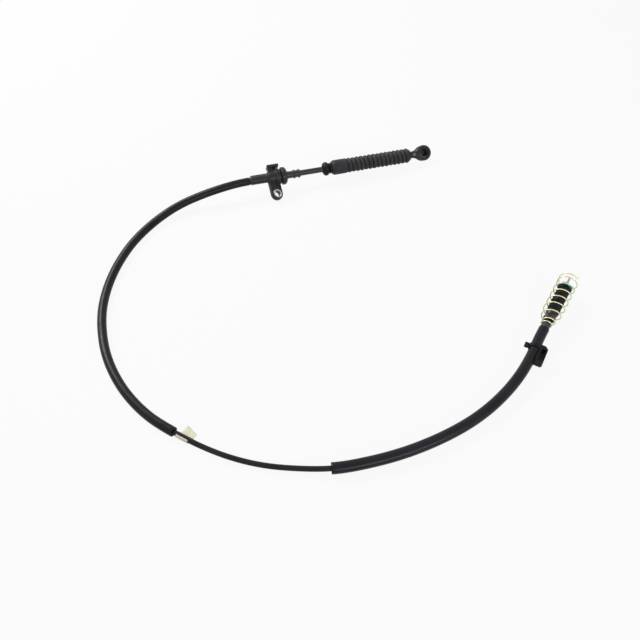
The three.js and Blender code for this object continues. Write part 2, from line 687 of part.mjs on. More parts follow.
// The eye is an open cup: its face looks along local +Z.
function headEye() {
  const half = EYE_THICKNESS / 2;
  const r = EYE_D / 2;
  const disc = turned([
    [-half, 0],
    [-half, r - EYE_CHAMFER],
    [-half + EYE_CHAMFER, r],
    [half - EYE_CHAMFER, r],
    [half, r - EYE_CHAMFER],
    [half, 0],
  ], 32)
    .rotateY(-Math.PI / 2)
    .translate(EYE_AT, 0, 0);
  const flare = turned([
    [SHANK_START, 0],
    [SHANK_START, NECK_D / 2],
    [EYE_AT - NECK_FLARE, NECK_D / 2],
    [EYE_AT - NECK_FLARE * 0.8, NECK_D / 2 + 0.8],
    [EYE_AT - NECK_FLARE * 0.62, NECK_D / 2 + 2.6],
    [EYE_AT - NECK_FLARE * 0.45, NECK_D / 2 + 4.4],
    [EYE_AT - NECK_FLARE * 0.3, 0],
  ]);
  const slab = box(60, 60, EYE_THICKNESS, EYE_AT - 30, 0, 0);
  const neck = toGeometry(toSolid(flare).intersect(toSolid(slab)));
  const boreFloor = -half + EYE_FLOOR;
  const cuts = [
    bar(EYE_BORE_D, EYE_THICKNESS, EYE_AT, 0, boreFloor + EYE_THICKNESS / 2, 32),
    rod(SHANK_START - 1, SHANK_START + SHANK_INSIDE + SEAT_GAP, ROD_D + 2 * SEAT_GAP),
    bar(WINDOW_D, WINDOW_DEPTH * 2, EYE_AT - NECK_FLARE, 0, NECK_D / 2, 16),
  ];
  const eye = piece("eye_housing", carve([disc, neck], cuts), FINISH.casting);
  const insertR = EYE_BORE_D / 2 - SEAT_GAP;
  const boreR = insertR - INSERT_WALL;
  const low = boreFloor + SEAT_GAP;
  const high = half - INSERT_RECESS;
  const insert = piece(
    "eye_insert",
    turned([
      [low, insertR],
      [high - 0.6, insertR],
      [high, insertR - 0.6],
      [high, boreR + 0.6],
      [high - 1.2, boreR],
      [low + 1.2, boreR],
      [low, boreR - 1],
      [low, insertR],
    ], 32)
      .rotateY(-Math.PI / 2)
      .translate(EYE_AT, 0, 0),
    FINISH.insert,
  );
  const turnedFace = new THREE.Group();
  turnedFace.rotation.x = THREE.MathUtils.degToRad(EYE_ROLL_DEG);
  turnedFace.add(eye, insert);
  return turnedFace;
}

// Stations along the tail's axis, from the conduit's end
const TAIL_FERRULE_END = SEAT_GAP + TAIL_FERRULE_LENGTH - TAIL_FERRULE_LAP;
const GROMMET_START = TAIL_FERRULE_END + SEAT_GAP;
const GROMMET_END = GROMMET_START + GROMMET_LENGTH;
const HEX_START = GROMMET_END + SEAT_GAP;
const TAPER_END = HEX_START + HEX_LENGTH + TAPER_LENGTH;
const TAIL_BELLOWS_START = TAPER_END + SEAT_GAP;
const TAIL_BELLOWS_END = TAIL_BELLOWS_START + TAIL_FOLDS * TAIL_FOLD_PITCH;
const RING_START = TAIL_BELLOWS_END - RING_LIP;
const RING_END = RING_START + RING_LENGTH;
const TAIL_TUBE_START = TAPER_END - TAIL_TUBE_SEAT;
const TAIL_TUBE_END = TAIL_BELLOWS_END - ROD_TRAVEL - END_GAP;
const TAIL_ROD_START = ROD_TRAVEL + END_GAP;
const SPRING_START = TAIL_FERRULE_END - SPRING_SEAT;

function tailFerrule() {
  const back = -SKIRT_LENGTH;
  const headStart = TAIL_FERRULE_END - TAIL_FERRULE_LENGTH;
  const r = TAIL_FERRULE_D / 2;
  const boreR = CONDUIT_D / 2 + SEAT_GAP;
  return piece(
    "tail_ferrule",
    turned([
      [back, SKIRT_D / 2],
      [headStart, SKIRT_D / 2],
      [headStart, r],
      [TAIL_FERRULE_END - 1, r],
      [TAIL_FERRULE_END, r - 1],
      [TAIL_FERRULE_END, TAIL_BORE_D / 2],
      [SEAT_GAP, TAIL_BORE_D / 2],
      [SEAT_GAP, boreR],
      [back, boreR],
      [back, SKIRT_D / 2],
    ]),
    FINISH.blackSteel,
  );
}

function tailGrommet() {
  const r = GROMMET_D / 2;
  return piece(
    "tail_grommet",
    ringOf(
      [
        [GROMMET_START, r],
        [GROMMET_START + GROMMET_RIM, r],
        [GROMMET_START + GROMMET_RIM, r - GROMMET_GROOVE],
        [GROMMET_END - GROMMET_RIM, r - GROMMET_GROOVE],
        [GROMMET_END - GROMMET_RIM, r],
        [GROMMET_END, r],
      ],
      TAIL_BORE_D,
    ),
    FINISH.rubber,
  );
}

function tailHexFitting() {
  const hex = rod(HEX_START, HEX_START + HEX_LENGTH, HEX_ACROSS / Math.cos(Math.PI / 6), 6);
  const taper = turned([
    [HEX_START + HEX_LENGTH - 0.5, 0],
    [HEX_START + HEX_LENGTH - 0.5, HEX_ACROSS / 2 - 0.4],
    [TAPER_END, TAPER_D / 2],
    [TAPER_END, 0],
  ]);
  const spigotEnd = TAPER_END + SPIGOT_LENGTH;
  const spigot = rod(TAPER_END - 1, spigotEnd, SPIGOT_D);
  const cuts = [
    rod(HEX_START - 1, spigotEnd + 1, TAIL_BORE_D),
    rod(TAIL_TUBE_START, spigotEnd + 1, TAIL_TUBE_D + 2 * SEAT_GAP),
  ];
  return piece("tail_hex_fitting", carve([hex, taper, spigot], cuts), FINISH.brown);
}

function tailGuideTube() {
  return piece(
    "tail_guide_tube",
    tubeAlong(TAIL_TUBE_START + SEAT_GAP, TAIL_TUBE_END, TAIL_TUBE_D, TAIL_BORE_D),
    FINISH.blackSteel,
  );
}

function tailBellows() {
  return piece(
    "tail_bellows",
    ringOf(
      folds(TAIL_BELLOWS_START, TAIL_FOLDS, TAIL_FOLD_PITCH, TAIL_FOLD_D, TAIL_FOLD_ROOT_D),
      TAIL_BELLOWS_BORE_D,
    ),
    FINISH.rubber,
  );
}

// A cap on the rod, with a lip round the bellows' end
function ringCap() {
  const lipR = TAIL_FOLD_D / 2 + SEAT_GAP;
  const r = RING_D / 2;
  return piece(
    "ring_cap",
    turned([
      [RING_START, r],
      [RING_END - 1, r],
      [RING_END, r - 1],
      [RING_END, TAIL_TIP_D / 2 + SEAT_GAP],
      [TAIL_BELLOWS_END + SEAT_GAP, TAIL_TIP_D / 2 + SEAT_GAP],
      [TAIL_BELLOWS_END + SEAT_GAP, lipR],
      [RING_START, lipR],
      [RING_START, r],
    ]),
    FINISH.teal,
  );
}

function tailRod() {
  const shoulder = TAIL_BELLOWS_END;
  return piece(
    "tail_rod",
    turned([
      [TAIL_ROD_START, 0],
      [TAIL_ROD_START, TAIL_ROD_D / 2],
      [shoulder, TAIL_ROD_D / 2],
      [shoulder, TAIL_TIP_D / 2],
      [RING_END + TAIL_TIP_LENGTH, TAIL_TIP_D / 2],
      [RING_END + TAIL_TIP_LENGTH, 0],
    ]),
    FINISH.core,
  );
}

// How far a turn count reaches into a stretch of the spring, in turns
function turnsInto(turn, before, turns) {
  return THREE.MathUtils.clamp(turn - before, 0, turns);
}

class SpringPath extends THREE.Curve {
  getPoint(t, target = new THREE.Vector3()) {
    const turn = t * SPRING_TURNS;
    const coneEnd = SPRING_GRIP_TURNS + SPRING_CONE_TURNS;
    const grip = turnsInto(turn, 0, SPRING_GRIP_TURNS);
    const cone = turnsInto(turn, SPRING_GRIP_TURNS, SPRING_CONE_TURNS) / SPRING_CONE_TURNS;
    const full = turnsInto(turn, coneEnd, SPRING_FULL_TURNS);
    const closed = turnsInto(turn, coneEnd + SPRING_FULL_TURNS, SPRING_CLOSED_TURNS);
    const radius = (SPRING_SMALL_D + (SPRING_D - SPRING_SMALL_D) * Math.sin((cone * Math.PI) / 2)) / 2;
    const station = SPRING_START + grip * SPRING_GRIP_PITCH + SPRING_CONE_LENGTH * cone ** 1.2
      + full * SPRING_PITCH + closed * SPRING_CLOSED_PITCH;
    const angle = 2 * Math.PI * turn;
    return target.set(station, radius * Math.cos(angle), radius * Math.sin(angle));
  }
}

function spring() {
  const shape = new THREE.Shape(sectionPoints(WIRE_D, 6));
  const steps = Math.round(SPRING_TURNS * SPRING_STEPS_PER_TURN);
  const options = { steps, bevelEnabled: false, extrudePath: new SpringPath() };
  return piece("tail_spring", new THREE.ExtrudeGeometry(shape, options), FINISH.zinc);
}

function clip(distance) {
  const group = frameOnRoute(distance);
  const strapR = SLEEVE_D / 2 + SEAT_GAP;
  const strapD = 2 * (strapR + STRAP_THICKNESS);
  const strap = rod(-STRAP_WIDTH / 2, STRAP_WIDTH / 2, strapD);
  const front = CLIP_BLOCK_LEAD;
  const back = front - CLIP_BLOCK_LENGTH;
  const inner = -strapR;
  const outer = inner - CLIP_BLOCK_WIDTH;
  const block = plate(
    [
      [back, inner],
      [back, outer + CLIP_BACK_CHAMFER],
      [back + CLIP_BACK_CHAMFER, outer],
      [front - CLIP_CHAMFER, outer],
      [front, outer + CLIP_CHAMFER],
      [front, inner],
    ],
    CLIP_BLOCK_HEIGHT,
  );
  const bridge = box(STRAP_WIDTH, 4, CLIP_BLOCK_HEIGHT * 0.8, 0, inner + 0.5, 0);
  const stemEnd = strapR + STRAP_THICKNESS + KNOB_STEM_LENGTH;
  const stem = rod(strapR + SEAT_GAP, stemEnd, KNOB_STEM_D).rotateZ(Math.PI / 2);
  const pocket = box(
    CLIP_BLOCK_LENGTH - 2 * CLIP_WALL - CLIP_CHAMFER,
    CLIP_BLOCK_WIDTH - 2 * CLIP_WALL,
    CLIP_POCKET_DEPTH,
    (back + front - CLIP_CHAMFER) / 2,
    (inner + outer) / 2,
    CLIP_BLOCK_HEIGHT / 2 - CLIP_POCKET_DEPTH / 2 + 0.01,
  );
  const hole = rod(-STRAP_WIDTH, STRAP_WIDTH, 2 * strapR);
  group.add(piece("sleeve_clip", carve([strap, block, bridge, stem], [hole, pocket]), FINISH.clip));
  const knobStart = stemEnd + SEAT_GAP;
  const knob = rod(knobStart, knobStart + KNOB_LENGTH, KNOB_D, 16).rotateZ(Math.PI / 2);
  group.add(piece("clip_knob", knob, FINISH.clip));
  return group;
}

function markerTape(distance) {
  const group = frameOnRoute(distance + TAPE_LENGTH / 2);
  const boreR = CONDUIT_D / 2 + SEAT_GAP;
  const r = boreR + TAPE_THICKNESS;
  const half = TAPE_LENGTH / 2;
  const band = tubeAlong(-half, half, 2 * r, 2 * boreR, 16);
  const start = -half + FLAG_OFFSET;
  const flag = plate(
    [
      [start, boreR + 0.2],
      [start + FLAG_LENGTH, boreR + 0.2],
      [start + FLAG_LENGTH, boreR + FLAG_SHORT_REACH],
      [start + 2, boreR + FLAG_REACH],
    ],
    TAPE_THICKNESS * 1.4,
  );
  group.add(piece("marker_tape", carve([band, flag], []), FINISH.tape));
  return group;
}

function cable() {
  const group = new THREE.Group();
  const sheathStart = CONDUIT_SEAT + SEAT_GAP;
  const sheathEnd = sheathStart + SHEATH_LENGTH;
  const sleeveStart = sheathEnd + BARE_LENGTH;
  const sleeveEnd = ROUTE_LENGTH - (TAIL_FERRULE_LENGTH - TAIL_FERRULE_END) - SEAT_GAP;
  group.add(
    piece("core_wire", cableSolid(1, ROUTE_LENGTH - 1, CORE_D, 0, 8), FINISH.core),
    piece("conduit", cableSolid(0, ROUTE_LENGTH, CONDUIT_D, CONDUIT_BORE_D, 8), FINISH.jacket),
    piece("first_sheath", cableSolid(sheathStart, sheathEnd, SHEATH_D, SHEATH_BORE_D, 10), FINISH.sheath),
    piece("second_sleeve", cableSolid(sleeveStart, sleeveEnd, SLEEVE_D, SLEEVE_BORE_D, 10), FINISH.sleeve),
    markerTape(sheathEnd + TAPE_START_GAP),
    clip(sleeveEnd - CLIP_FROM_SLEEVE_END),
  );
  return group;
}

function head() {
  const start = new THREE.Vector3(...ROUTE[0]);
  const direction = start.clone().sub(new THREE.Vector3(...ROUTE[1]));
  const group = frameAt(start, direction);
  const axisHeight = start.z + (EAR_AT * direction.z) / direction.length();
  group.add(
    headBracket(axisHeight),
    isolatorRing(),
    flangeCap(),
    guideTube(),
    endSeal(),
    headBoot(),
    headRod(),
    headEye(),
  );
  return group;
}

function tail() {
  const end = new THREE.Vector3(...ROUTE[ROUTE.length - 1]);
  const direction = end.clone().sub(new THREE.Vector3(...ROUTE[ROUTE.length - 2]));
  const group = frameAt(end, direction);
  group.add(
    tailFerrule(),
    tailGrommet(),
    tailHexFitting(),
    tailGuideTube(),
    tailBellows(),
    ringCap(),
    tailRod(),
    spring(),
  );
  return group;
}

const shiftCable = new THREE.Group();
shiftCable.add(cable(), head(), tail());

export default shiftCable;
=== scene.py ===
from math import asin, atan2, cos, hypot, pi, radians, sin, sqrt

import bmesh
import bpy
from mathutils import Matrix, Vector


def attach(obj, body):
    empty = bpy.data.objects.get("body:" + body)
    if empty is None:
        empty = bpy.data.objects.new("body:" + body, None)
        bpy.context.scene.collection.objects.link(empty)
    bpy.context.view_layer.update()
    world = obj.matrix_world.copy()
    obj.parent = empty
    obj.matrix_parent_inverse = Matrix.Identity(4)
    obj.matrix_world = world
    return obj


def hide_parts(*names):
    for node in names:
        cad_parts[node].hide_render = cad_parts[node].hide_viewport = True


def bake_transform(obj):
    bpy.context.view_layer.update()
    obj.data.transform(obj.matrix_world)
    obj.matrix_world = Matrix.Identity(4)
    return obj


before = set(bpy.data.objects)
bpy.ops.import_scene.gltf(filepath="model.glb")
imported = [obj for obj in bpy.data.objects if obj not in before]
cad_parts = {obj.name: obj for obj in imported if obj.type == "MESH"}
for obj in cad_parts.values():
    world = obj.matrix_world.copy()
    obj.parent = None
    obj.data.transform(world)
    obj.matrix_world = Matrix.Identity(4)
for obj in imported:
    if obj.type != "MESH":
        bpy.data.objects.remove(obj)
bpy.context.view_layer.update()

MM = 0.001

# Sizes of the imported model, in millimetres. Stations start at the conduit's ends and run outward.
ROUTE = [
    (-198.5, 104.9, 22.1), (-214.7, 99.9, 22.7), (-229, 95.5, 23), (-245, 89.9, 22.8), (-262, 83.6, 21.6),
    (-281, 76.6, 19.1), (-299, 69.2, 16.2), (-316, 61, 13.2), (-333.5, 49.2, 10.2), (-350.8, 32.8, 7.5),
    (-364.8, 14.5, 6.1), (-376.8, -7, 5.9), (-387, -32, 5.9), (-396.6, -69, 5.9), (-401, -108, 5.9),
    (-399.8, -145, 5.9), (-393, -180, 5.9), (-381, -216, 5.9), (-363.3, -250, 5.9), (-340.5, -280.8, 5.9),
    (-312, -308, 5.9), (-279, -329.6, 6), (-249, -345.4, 5), (-216, -358.6, 3.9), (-181, -367.8, 3.6),
    (-143, -372.6, 4.6), (-101, -373.6, 6.8), (-61.6, -366.2, 6.7), (-17.8, -352.8, 6.7), (27.8, -332.1, 6.7),
    (64.6, -309.3, 6.8), (96, -282.8, 7.4), (122.4, -253.6, 8.6), (143, -223.6, 10.6), (157.9, -196.9, 11.9),
    (168.9, -178.8, 13.3),
]
GAP = 0.3
CORE_D, CORE_SHORT = 2.4, 1
CONDUIT_D, CONDUIT_BORE_D = 6.4, 3.4
CONDUIT_SEAT = 25.5
SHEATH_D, SHEATH_BORE_D, SHEATH_LENGTH = 11.8, 8.3, 561.5
BARE_LENGTH = 186.5
SLEEVE_D, SLEEVE_BORE_D, SLEEVE_SHORT = 13.4, 10.2, 4.0

TAPE_LENGTH, TAPE_THICKNESS, TAPE_START_GAP = 16, 0.4, 5
TAPE_START_DEG, TAPE_TURN_DEG = 8, 250
FLAG_OFFSET, FLAG_LENGTH, FLAG_CORNER = 4, 15.5, 0.13
FLAG_REACH, FLAG_SHORT_REACH, FLAG_HALF = 11.5, 7, 0.16

CLIP_FROM_SLEEVE_END = 34
CLIP_BACK, CLIP_FRONT, CLIP_DEPTH, CLIP_HALF, CLIP_WALL = -21, 4, 8.5, 6, 1.6
STRAP_HALF, STRAP_THICKNESS = 2.5, 1.5
KNOB_GAP, KNOB_R, KNOB_LENGTH = 1.2, 3.75, 5

BARREL_R, HUB_R, HUB_START = 6.4, 10, 4.2
COLLAR_R, COLLAR_START, COLLAR_END = 11.75, 14.6, 21.8
EAR_AT, EAR_REACH, EAR_HALF = 11.0, 27.6, 9
EAR_TWIST = radians(18)
BOSS_R, BOSS_HALF = 8.6, 3.7
BUSHING_D, BUSHING_BORE_D, BUSHING_HALF = 13.4, 9.6, 4.3
POST_AT, POST_HALF, POST_REACH, POST_WAIST = 13.8, 9, 18.8, 11.8

BALL_AT, BALL_R, BALL_BACK, BALL_SPAN = 21.0, 7.0, 5.9, 10.4
SEAT_R, SEAT_END = 7.3, 4.1
SWING_SPREAD = 0.1228
TUBE_R, TUBE_BORE_R, TUBE_THIN_R, SHOULDER_R = 5.35, 3, 4.25, 5.75
CAP_START, CAP_END, CAP_R = 24.0, 31.9, 13.3

CUFF_AT, CUFF_R = 105.1, 11.3
FOLDS_AT, FOLDS, FOLD_PITCH, FOLD_ROOT_R = 130.2, 15, 6.87, 8.75
BOOT_BORE_R = 7.2
BOOT_END, COLLAR_STOP = 233.25, 235.45

ROD_START, ROD_R = 47.0, 2.75
SHANK_START, NECK_R = 221.45, 5.25
EYE_AT, EYE_R, EYE_HALF = 258.65, 12.1, 6.25
EYE_TURN = radians(50)
EYE_BORE_D, EYE_FLOOR = 15, 3
WINDOW_AT, WINDOW_D, WINDOW_DEPTH = -16, 5.6, 2

FERRULE_END, FERRULE_R = 6.8, 5.75
HEX_AT, HEX_LENGTH, HEX_R, TAPER_END = 10.9, 6, 6.7, 22.9
BELLOWS_AT, BELLOWS_END = 23.2, 72.2
TAIL_FOLDS, TAIL_FOLD_PITCH, TAIL_ROOT_R, TAIL_FOLD_RISE = 8, 6.125, 6.85, 1.65
RING_START, RING_END, RING_R = 70.6, 75.4, 9.6
TIP_R, TIP_END = 1.3, 91.9
WIRE_D, GRIP_D, SPRING_D = 1.5, 13.6, 25.4


def frame_at(place, direction):
    d = Vector(direction).normalized()
    turn = Matrix.Rotation(atan2(d.y, d.x), 4, "Z") @ Matrix.Rotation(-asin(d.z), 4, "Y")
    return Matrix.Translation(Vector(place)) @ turn


# The route, as one smooth centripetal curve
def catmull(points, steps=40):
    p = [Vector(q) for q in points]
    p = [p[0] * 2 - p[1]] + p + [p[-1] * 2 - p[-2]]
    out = []
    for i in range(1, len(p) - 2):
        a, b, c, d = p[i - 1], p[i], p[i + 1], p[i + 2]
        t0, t1, t2 = [sqrt((v - u).length) for u, v in ((a, b), (b, c), (c, d))]
        m1 = ((b - a) / t0 - (c - a) / (t0 + t1) + (c - b) / t1) * t1
        m2 = ((c - b) / t1 - (d - b) / (t1 + t2) + (d - c) / t2) * t1
        for k in range(steps):
            t = k / steps
            square = b * -3 + c * 3 - m1 * 2 - m2
            cube = b * 2 - c * 2 + m1 + m2
            out.append(b + m1 * t + square * t ** 2 + cube * t ** 3)
    out.append(p[-2])
    return out


LINE = catmull(ROUTE)
REACH = [0.0]
for u, v in zip(LINE, LINE[1:]):
    REACH.append(REACH[-1] + (v - u).length)
LENGTH = REACH[-1]


def on_route(distance):
    lo, hi = 0, len(REACH) - 1
    while hi - lo > 1:
        mid = (lo + hi) // 2
        lo, hi = (mid, hi) if REACH[mid] <= distance else (lo, mid)
    share = (distance - REACH[lo]) / (REACH[hi] - REACH[lo])
    return LINE[lo].lerp(LINE[hi], share)


def stretch(start, end, step):
    count = max(2, round((end - start) / step))
    return [on_route(start + (end - start) * i / count) for i in range(count + 1)]


def frame_on_route(distance):
    return frame_at(on_route(distance), on_route(distance + 0.5) - on_route(distance - 0.5))


HEAD = frame_at(ROUTE[0], Vector(ROUTE[0]) - Vector(ROUTE[1]))
TAIL = frame_at(ROUTE[-1], Vector(ROUTE[-1]) - Vector(ROUTE[-2]))
AXIS_HEIGHT = (HEAD @ Vector((EAR_AT, 0, 0))).z


def ear_drop():
    """The turn about the cable's axis that brings the lower edge of the ear's boss down to the floor."""
    low, high = 0.0, pi / 3
    for _ in range(40):
        turn = (low + high) / 2
        edge = BOSS_R * hypot(sin(turn), cos(turn) * sin(EAR_TWIST))
        depth = EAR_REACH * sin(turn) + BOSS_HALF * cos(EAR_TWIST) * cos(turn) + edge
        low, high = (low, turn) if depth > AXIS_HEIGHT - 0.1 else (turn, high)
    return low


EAR_TURN = ear_drop()
BRACKET = HEAD @ Matrix.Rotation(EAR_TURN, 4, "X")
EAR_PLACE = Matrix.Translation((EAR_AT, 0, 0))
EAR = EAR_PLACE @ Matrix.Rotation(EAR_TWIST, 4, "Y") @ EAR_PLACE.inverted()
EYE = HEAD @ Matrix.Rotation(EYE_TURN, 4, "X") @ Matrix.Translation((EYE_AT, 0, 0))
UPRIGHT = Matrix.Rotation(-pi / 2, 4, "Y")

# Camera, placed as the photograph was taken
CAMERA_PLACE = (-0.116, -0.7319, 0.6851)
CAMERA_TILT = radians(40)
CAMERA_LENS, CAMERA_SENSOR = 38.7, 36
camera = bpy.data.objects.new("camera", bpy.data.cameras.new("camera"))
bpy.context.collection.objects.link(camera)
camera.location = CAMERA_PLACE
camera.rotation_euler = (CAMERA_TILT, 0, 0)
camera.data.lens = CAMERA_LENS
camera.data.sensor_width = CAMERA_SENSOR
bpy.context.scene.camera = camera


# Materials
GRAIN_DEPTH = 0.0004


def nodes_of(name):
    material = bpy.data.materials.new(name)
    material.use_nodes = True
    tree = material.node_tree
    return material, tree.nodes, tree.links, tree.nodes["Principled BSDF"]


def finish(name, dark, light, rough=(0.4, 0.55), grain=900.0, bump=0.08, tone=60.0, metal=0.0, spec=0.5,
           wear=None, painted_shade=None):
    """Two tones in soft patches, a fine grain in the bump and uneven gloss.

    Where wear is a colour, edges are rubbed to it. Where painted_shade is a direction, a start and an end,
    the light tone comes in along that direction, between those two places in object space; short of the start
    the dark tone stands alone as painted shade.
    """
    material, nodes, links, shader = nodes_of(name)
    shader.inputs["Metallic"].default_value = metal
    shader.inputs["Specular IOR Level"].default_value = spec
    place = nodes.new("ShaderNodeTexCoord")

    def field(size, detail, roughness=0.6):
        node = nodes.new("ShaderNodeTexNoise")
        node.inputs["Scale"].default_value = size
        node.inputs["Detail"].default_value = detail
        node.inputs["Roughness"].default_value = roughness
        links.new(place.outputs["Object"], node.inputs["Vector"])
        return node

    def ranged(source, low, high, start=0.35, end=0.65):
        node = nodes.new("ShaderNodeMapRange")
        node.inputs["From Min"].default_value = start
        node.inputs["From Max"].default_value = end
        node.inputs["To Min"].default_value = low
        node.inputs["To Max"].default_value = high
        links.new(source, node.inputs["Value"])
        return node.outputs["Result"]

    patches = field(tone, 5)
    colours = nodes.new("ShaderNodeMix")
    colours.data_type = "RGBA"
    colours.inputs["A"].default_value = (*dark, 1)
    colours.inputs["B"].default_value = (*light, 1)
    amount = ranged(patches.outputs["Fac"], 0, 1)
    # Painted shade: a gradient along a fixed direction holds the light tone back, leaving the dark tone as
    # shade.
    if painted_shade:
        along = nodes.new("ShaderNodeVectorMath")
        along.operation = "DOT_PRODUCT"
        along.inputs[1].default_value = painted_shade[0]
        links.new(place.outputs["Object"], along.inputs[0])
        both = nodes.new("ShaderNodeMath")
        both.operation = "MULTIPLY"
        links.new(amount, both.inputs[0])
        links.new(ranged(along.outputs["Value"], 0, 1, *painted_shade[1:]), both.inputs[1])
        amount = both.outputs["Value"]
    links.new(amount, colours.inputs["Factor"])
    colour = colours.outputs["Result"]
    if wear:
        edges = nodes.new("ShaderNodeNewGeometry")
        rubbed = nodes.new("ShaderNodeMix")
        rubbed.data_type = "RGBA"
        rubbed.inputs["B"].default_value = (*wear, 1)
        mask = nodes.new("ShaderNodeMath")
        mask.operation = "MULTIPLY"
        links.new(ranged(edges.outputs["Pointiness"], 0, 1, 0.505, 0.56), mask.inputs[0])
        links.new(ranged(patches.outputs["Fac"], 0.25, 0.9), mask.inputs[1])
        links.new(mask.outputs["Value"], rubbed.inputs["Factor"])
        links.new(colour, rubbed.inputs["A"])
        colour = rubbed.outputs["Result"]
    links.new(colour, shader.inputs["Base Color"])
    links.new(ranged(field(tone * 2.7, 4).outputs["Fac"], *rough), shader.inputs["Roughness"])
    relief = nodes.new("ShaderNodeBump")
    relief.inputs["Strength"].default_value = bump
    relief.inputs["Distance"].default_value = GRAIN_DEPTH
    links.new(field(grain, 3, 0.5).outputs["Fac"], relief.inputs["Height"])
    links.new(relief.outputs["Normal"], shader.inputs["Normal"])
    return material


CASTING = finish("casting", (0.018, 0.018, 0.020), (0.028, 0.028, 0.031), rough=(0.28, 0.4), grain=1300,
                 bump=0.14, tone=90, spec=0.22, wear=(0.09, 0.09, 0.10))
BLACK_STEEL = finish("black_steel", (0.022, 0.022, 0.024), (0.036, 0.036, 0.040), rough=(0.28, 0.4),
                     grain=1600, bump=0.06, tone=160, metal=0.3, spec=0.35, wear=(0.14, 0.14, 0.15))
STEEL = finish("steel", (0.60, 0.60, 0.61), (0.74, 0.74, 0.75), rough=(0.2, 0.34), grain=2400, bump=0.1,
               tone=300, metal=1.0)
RUBBER = finish("rubber", (0.003, 0.003, 0.0035), (0.008, 0.008, 0.009), rough=(0.4, 0.55), grain=1100,
                bump=0.14, tone=120, spec=0.14, wear=(0.03, 0.03, 0.033))
BOOT_RUBBER = finish("boot_rubber", (0.026, 0.025, 0.028), (0.041, 0.040, 0.044), rough=(0.5, 0.64),
                     grain=1500, bump=0.2, tone=70, spec=0.2, wear=(0.075, 0.072, 0.08))
SHEATH = finish("sheath", (0.009, 0.0088, 0.0095), (0.018, 0.0176, 0.0188), rough=(0.27, 0.37), grain=700,
                bump=0.12, tone=35, spec=0.14)
JACKET = finish("jacket", (0.007, 0.008, 0.009), (0.014, 0.015, 0.017), rough=(0.24, 0.34), grain=800,
                bump=0.06, tone=50, spec=0.18)
SLEEVE = finish("sleeve", (0.008, 0.007, 0.0105), (0.016, 0.0145, 0.0195), rough=(0.24, 0.34), grain=600,
                bump=0.1, tone=30, spec=0.17)
# Painted shade: the bushing is light only at its upper face and dark from 1.6 mm below it, so the wall of its
# bore shows as shade.
BORE_AXIS = (BRACKET @ EAR).to_3x3() @ Vector((0, 0, 1))
BORE_FACE = BORE_AXIS.dot(BRACKET @ EAR @ Vector((EAR_AT, -EAR_REACH, BUSHING_HALF)) * MM)
BUSHING_WITH_PAINTED_SHADE = finish("bushing", (0.05, 0.05, 0.055), (0.80, 0.80, 0.81), rough=(0.2, 0.34), grain=2400,
                 bump=0.1, tone=2000, metal=0.9, painted_shade=(BORE_AXIS, BORE_FACE - 0.0016, BORE_FACE - 0.0006))
# Painted shade: the insert is light towards the near lower left and dark towards the far upper right, along a
# fixed direction in the scene, standing for the shade inside the eye's cup.
NEAR_LEFT = Vector((-0.55, -0.6, -0.58))
EYE_MIDDLE = NEAR_LEFT.dot(EYE.translation * MM)
INSERT_WITH_PAINTED_SHADE = finish("insert", (0.014, 0.017, 0.020), (0.50, 0.60, 0.66), rough=(0.3, 0.45), grain=1200,
                bump=0.08, tone=260, painted_shade=(NEAR_LEFT, EYE_MIDDLE + 0.001, EYE_MIDDLE + 0.0055))
CLIP = finish("clip", (0.003, 0.003, 0.0035), (0.007, 0.007, 0.008), rough=(0.32, 0.44), grain=1200,
              bump=0.12, tone=150, spec=0.14, wear=(0.06, 0.06, 0.07))
BROWN = finish("brown", (0.009, 0.006, 0.0055), (0.030, 0.020, 0.018), rough=(0.26, 0.4), grain=1300,
               bump=0.08, tone=200, spec=0.4, wear=(0.30, 0.24, 0.22))
TEAL = finish("teal", (0.020, 0.30, 0.28), (0.040, 0.42, 0.40), rough=(0.28, 0.4), grain=1300, bump=0.08,
              tone=160, wear=(0.10, 0.45, 0.40))
ZINC = finish("zinc", (0.74, 0.70, 0.38), (0.88, 0.85, 0.56), rough=(0.24, 0.38), grain=1800, bump=0.06,
              tone=260, metal=0.5)
CORE = finish("core", (0.34, 0.28, 0.27), (0.50, 0.43, 0.42), rough=(0.28, 0.4), grain=1800, bump=0.1,
              tone=260, metal=1.0)
TAPE = finish("tape", (0.72, 0.70, 0.46), (0.84, 0.83, 0.66), rough=(0.4, 0.55), grain=900, bump=0.1,
              tone=90)
PLUG = finish("window_plug", (0.22, 0.11, 0.09), (0.32, 0.17, 0.14), rough=(0.45, 0.6), grain=1500,
              bump=0.12, tone=300)


# Meshes
def lathe(profile, place, sides=72):
    """A turned solid along +X from (station, radius) pairs.

    Its ends lie on the axis, or it closes on itself.
    """
    verts, faces, rings = [], [], []
    for station, radius in profile:
        first = len(verts)
        if radius < 1e-6:
            verts.append(place @ Vector((station, 0, 0)))
            rings.append((first, 1))
            continue
        for k in range(sides):
            angle = 2 * pi * k / sides
            verts.append(place @ Vector((station, radius * cos(angle), radius * sin(angle))))
        rings.append((first, sides))
    pairs = list(zip(rings, rings[1:]))
    if rings[0][1] > 1:
        pairs.append((rings[-1], rings[0]))
    for (a, many_a), (b, many_b) in pairs:
        for k in range(sides):
            n = (k + 1) % sides
            if many_a == 1:
                faces.append((a, b + k, b + n))
            elif many_b == 1:
                faces.append((a + k, b, a + n))
            else:
                faces.append((a + k, b + k, b + n, a + n))
    return verts, faces


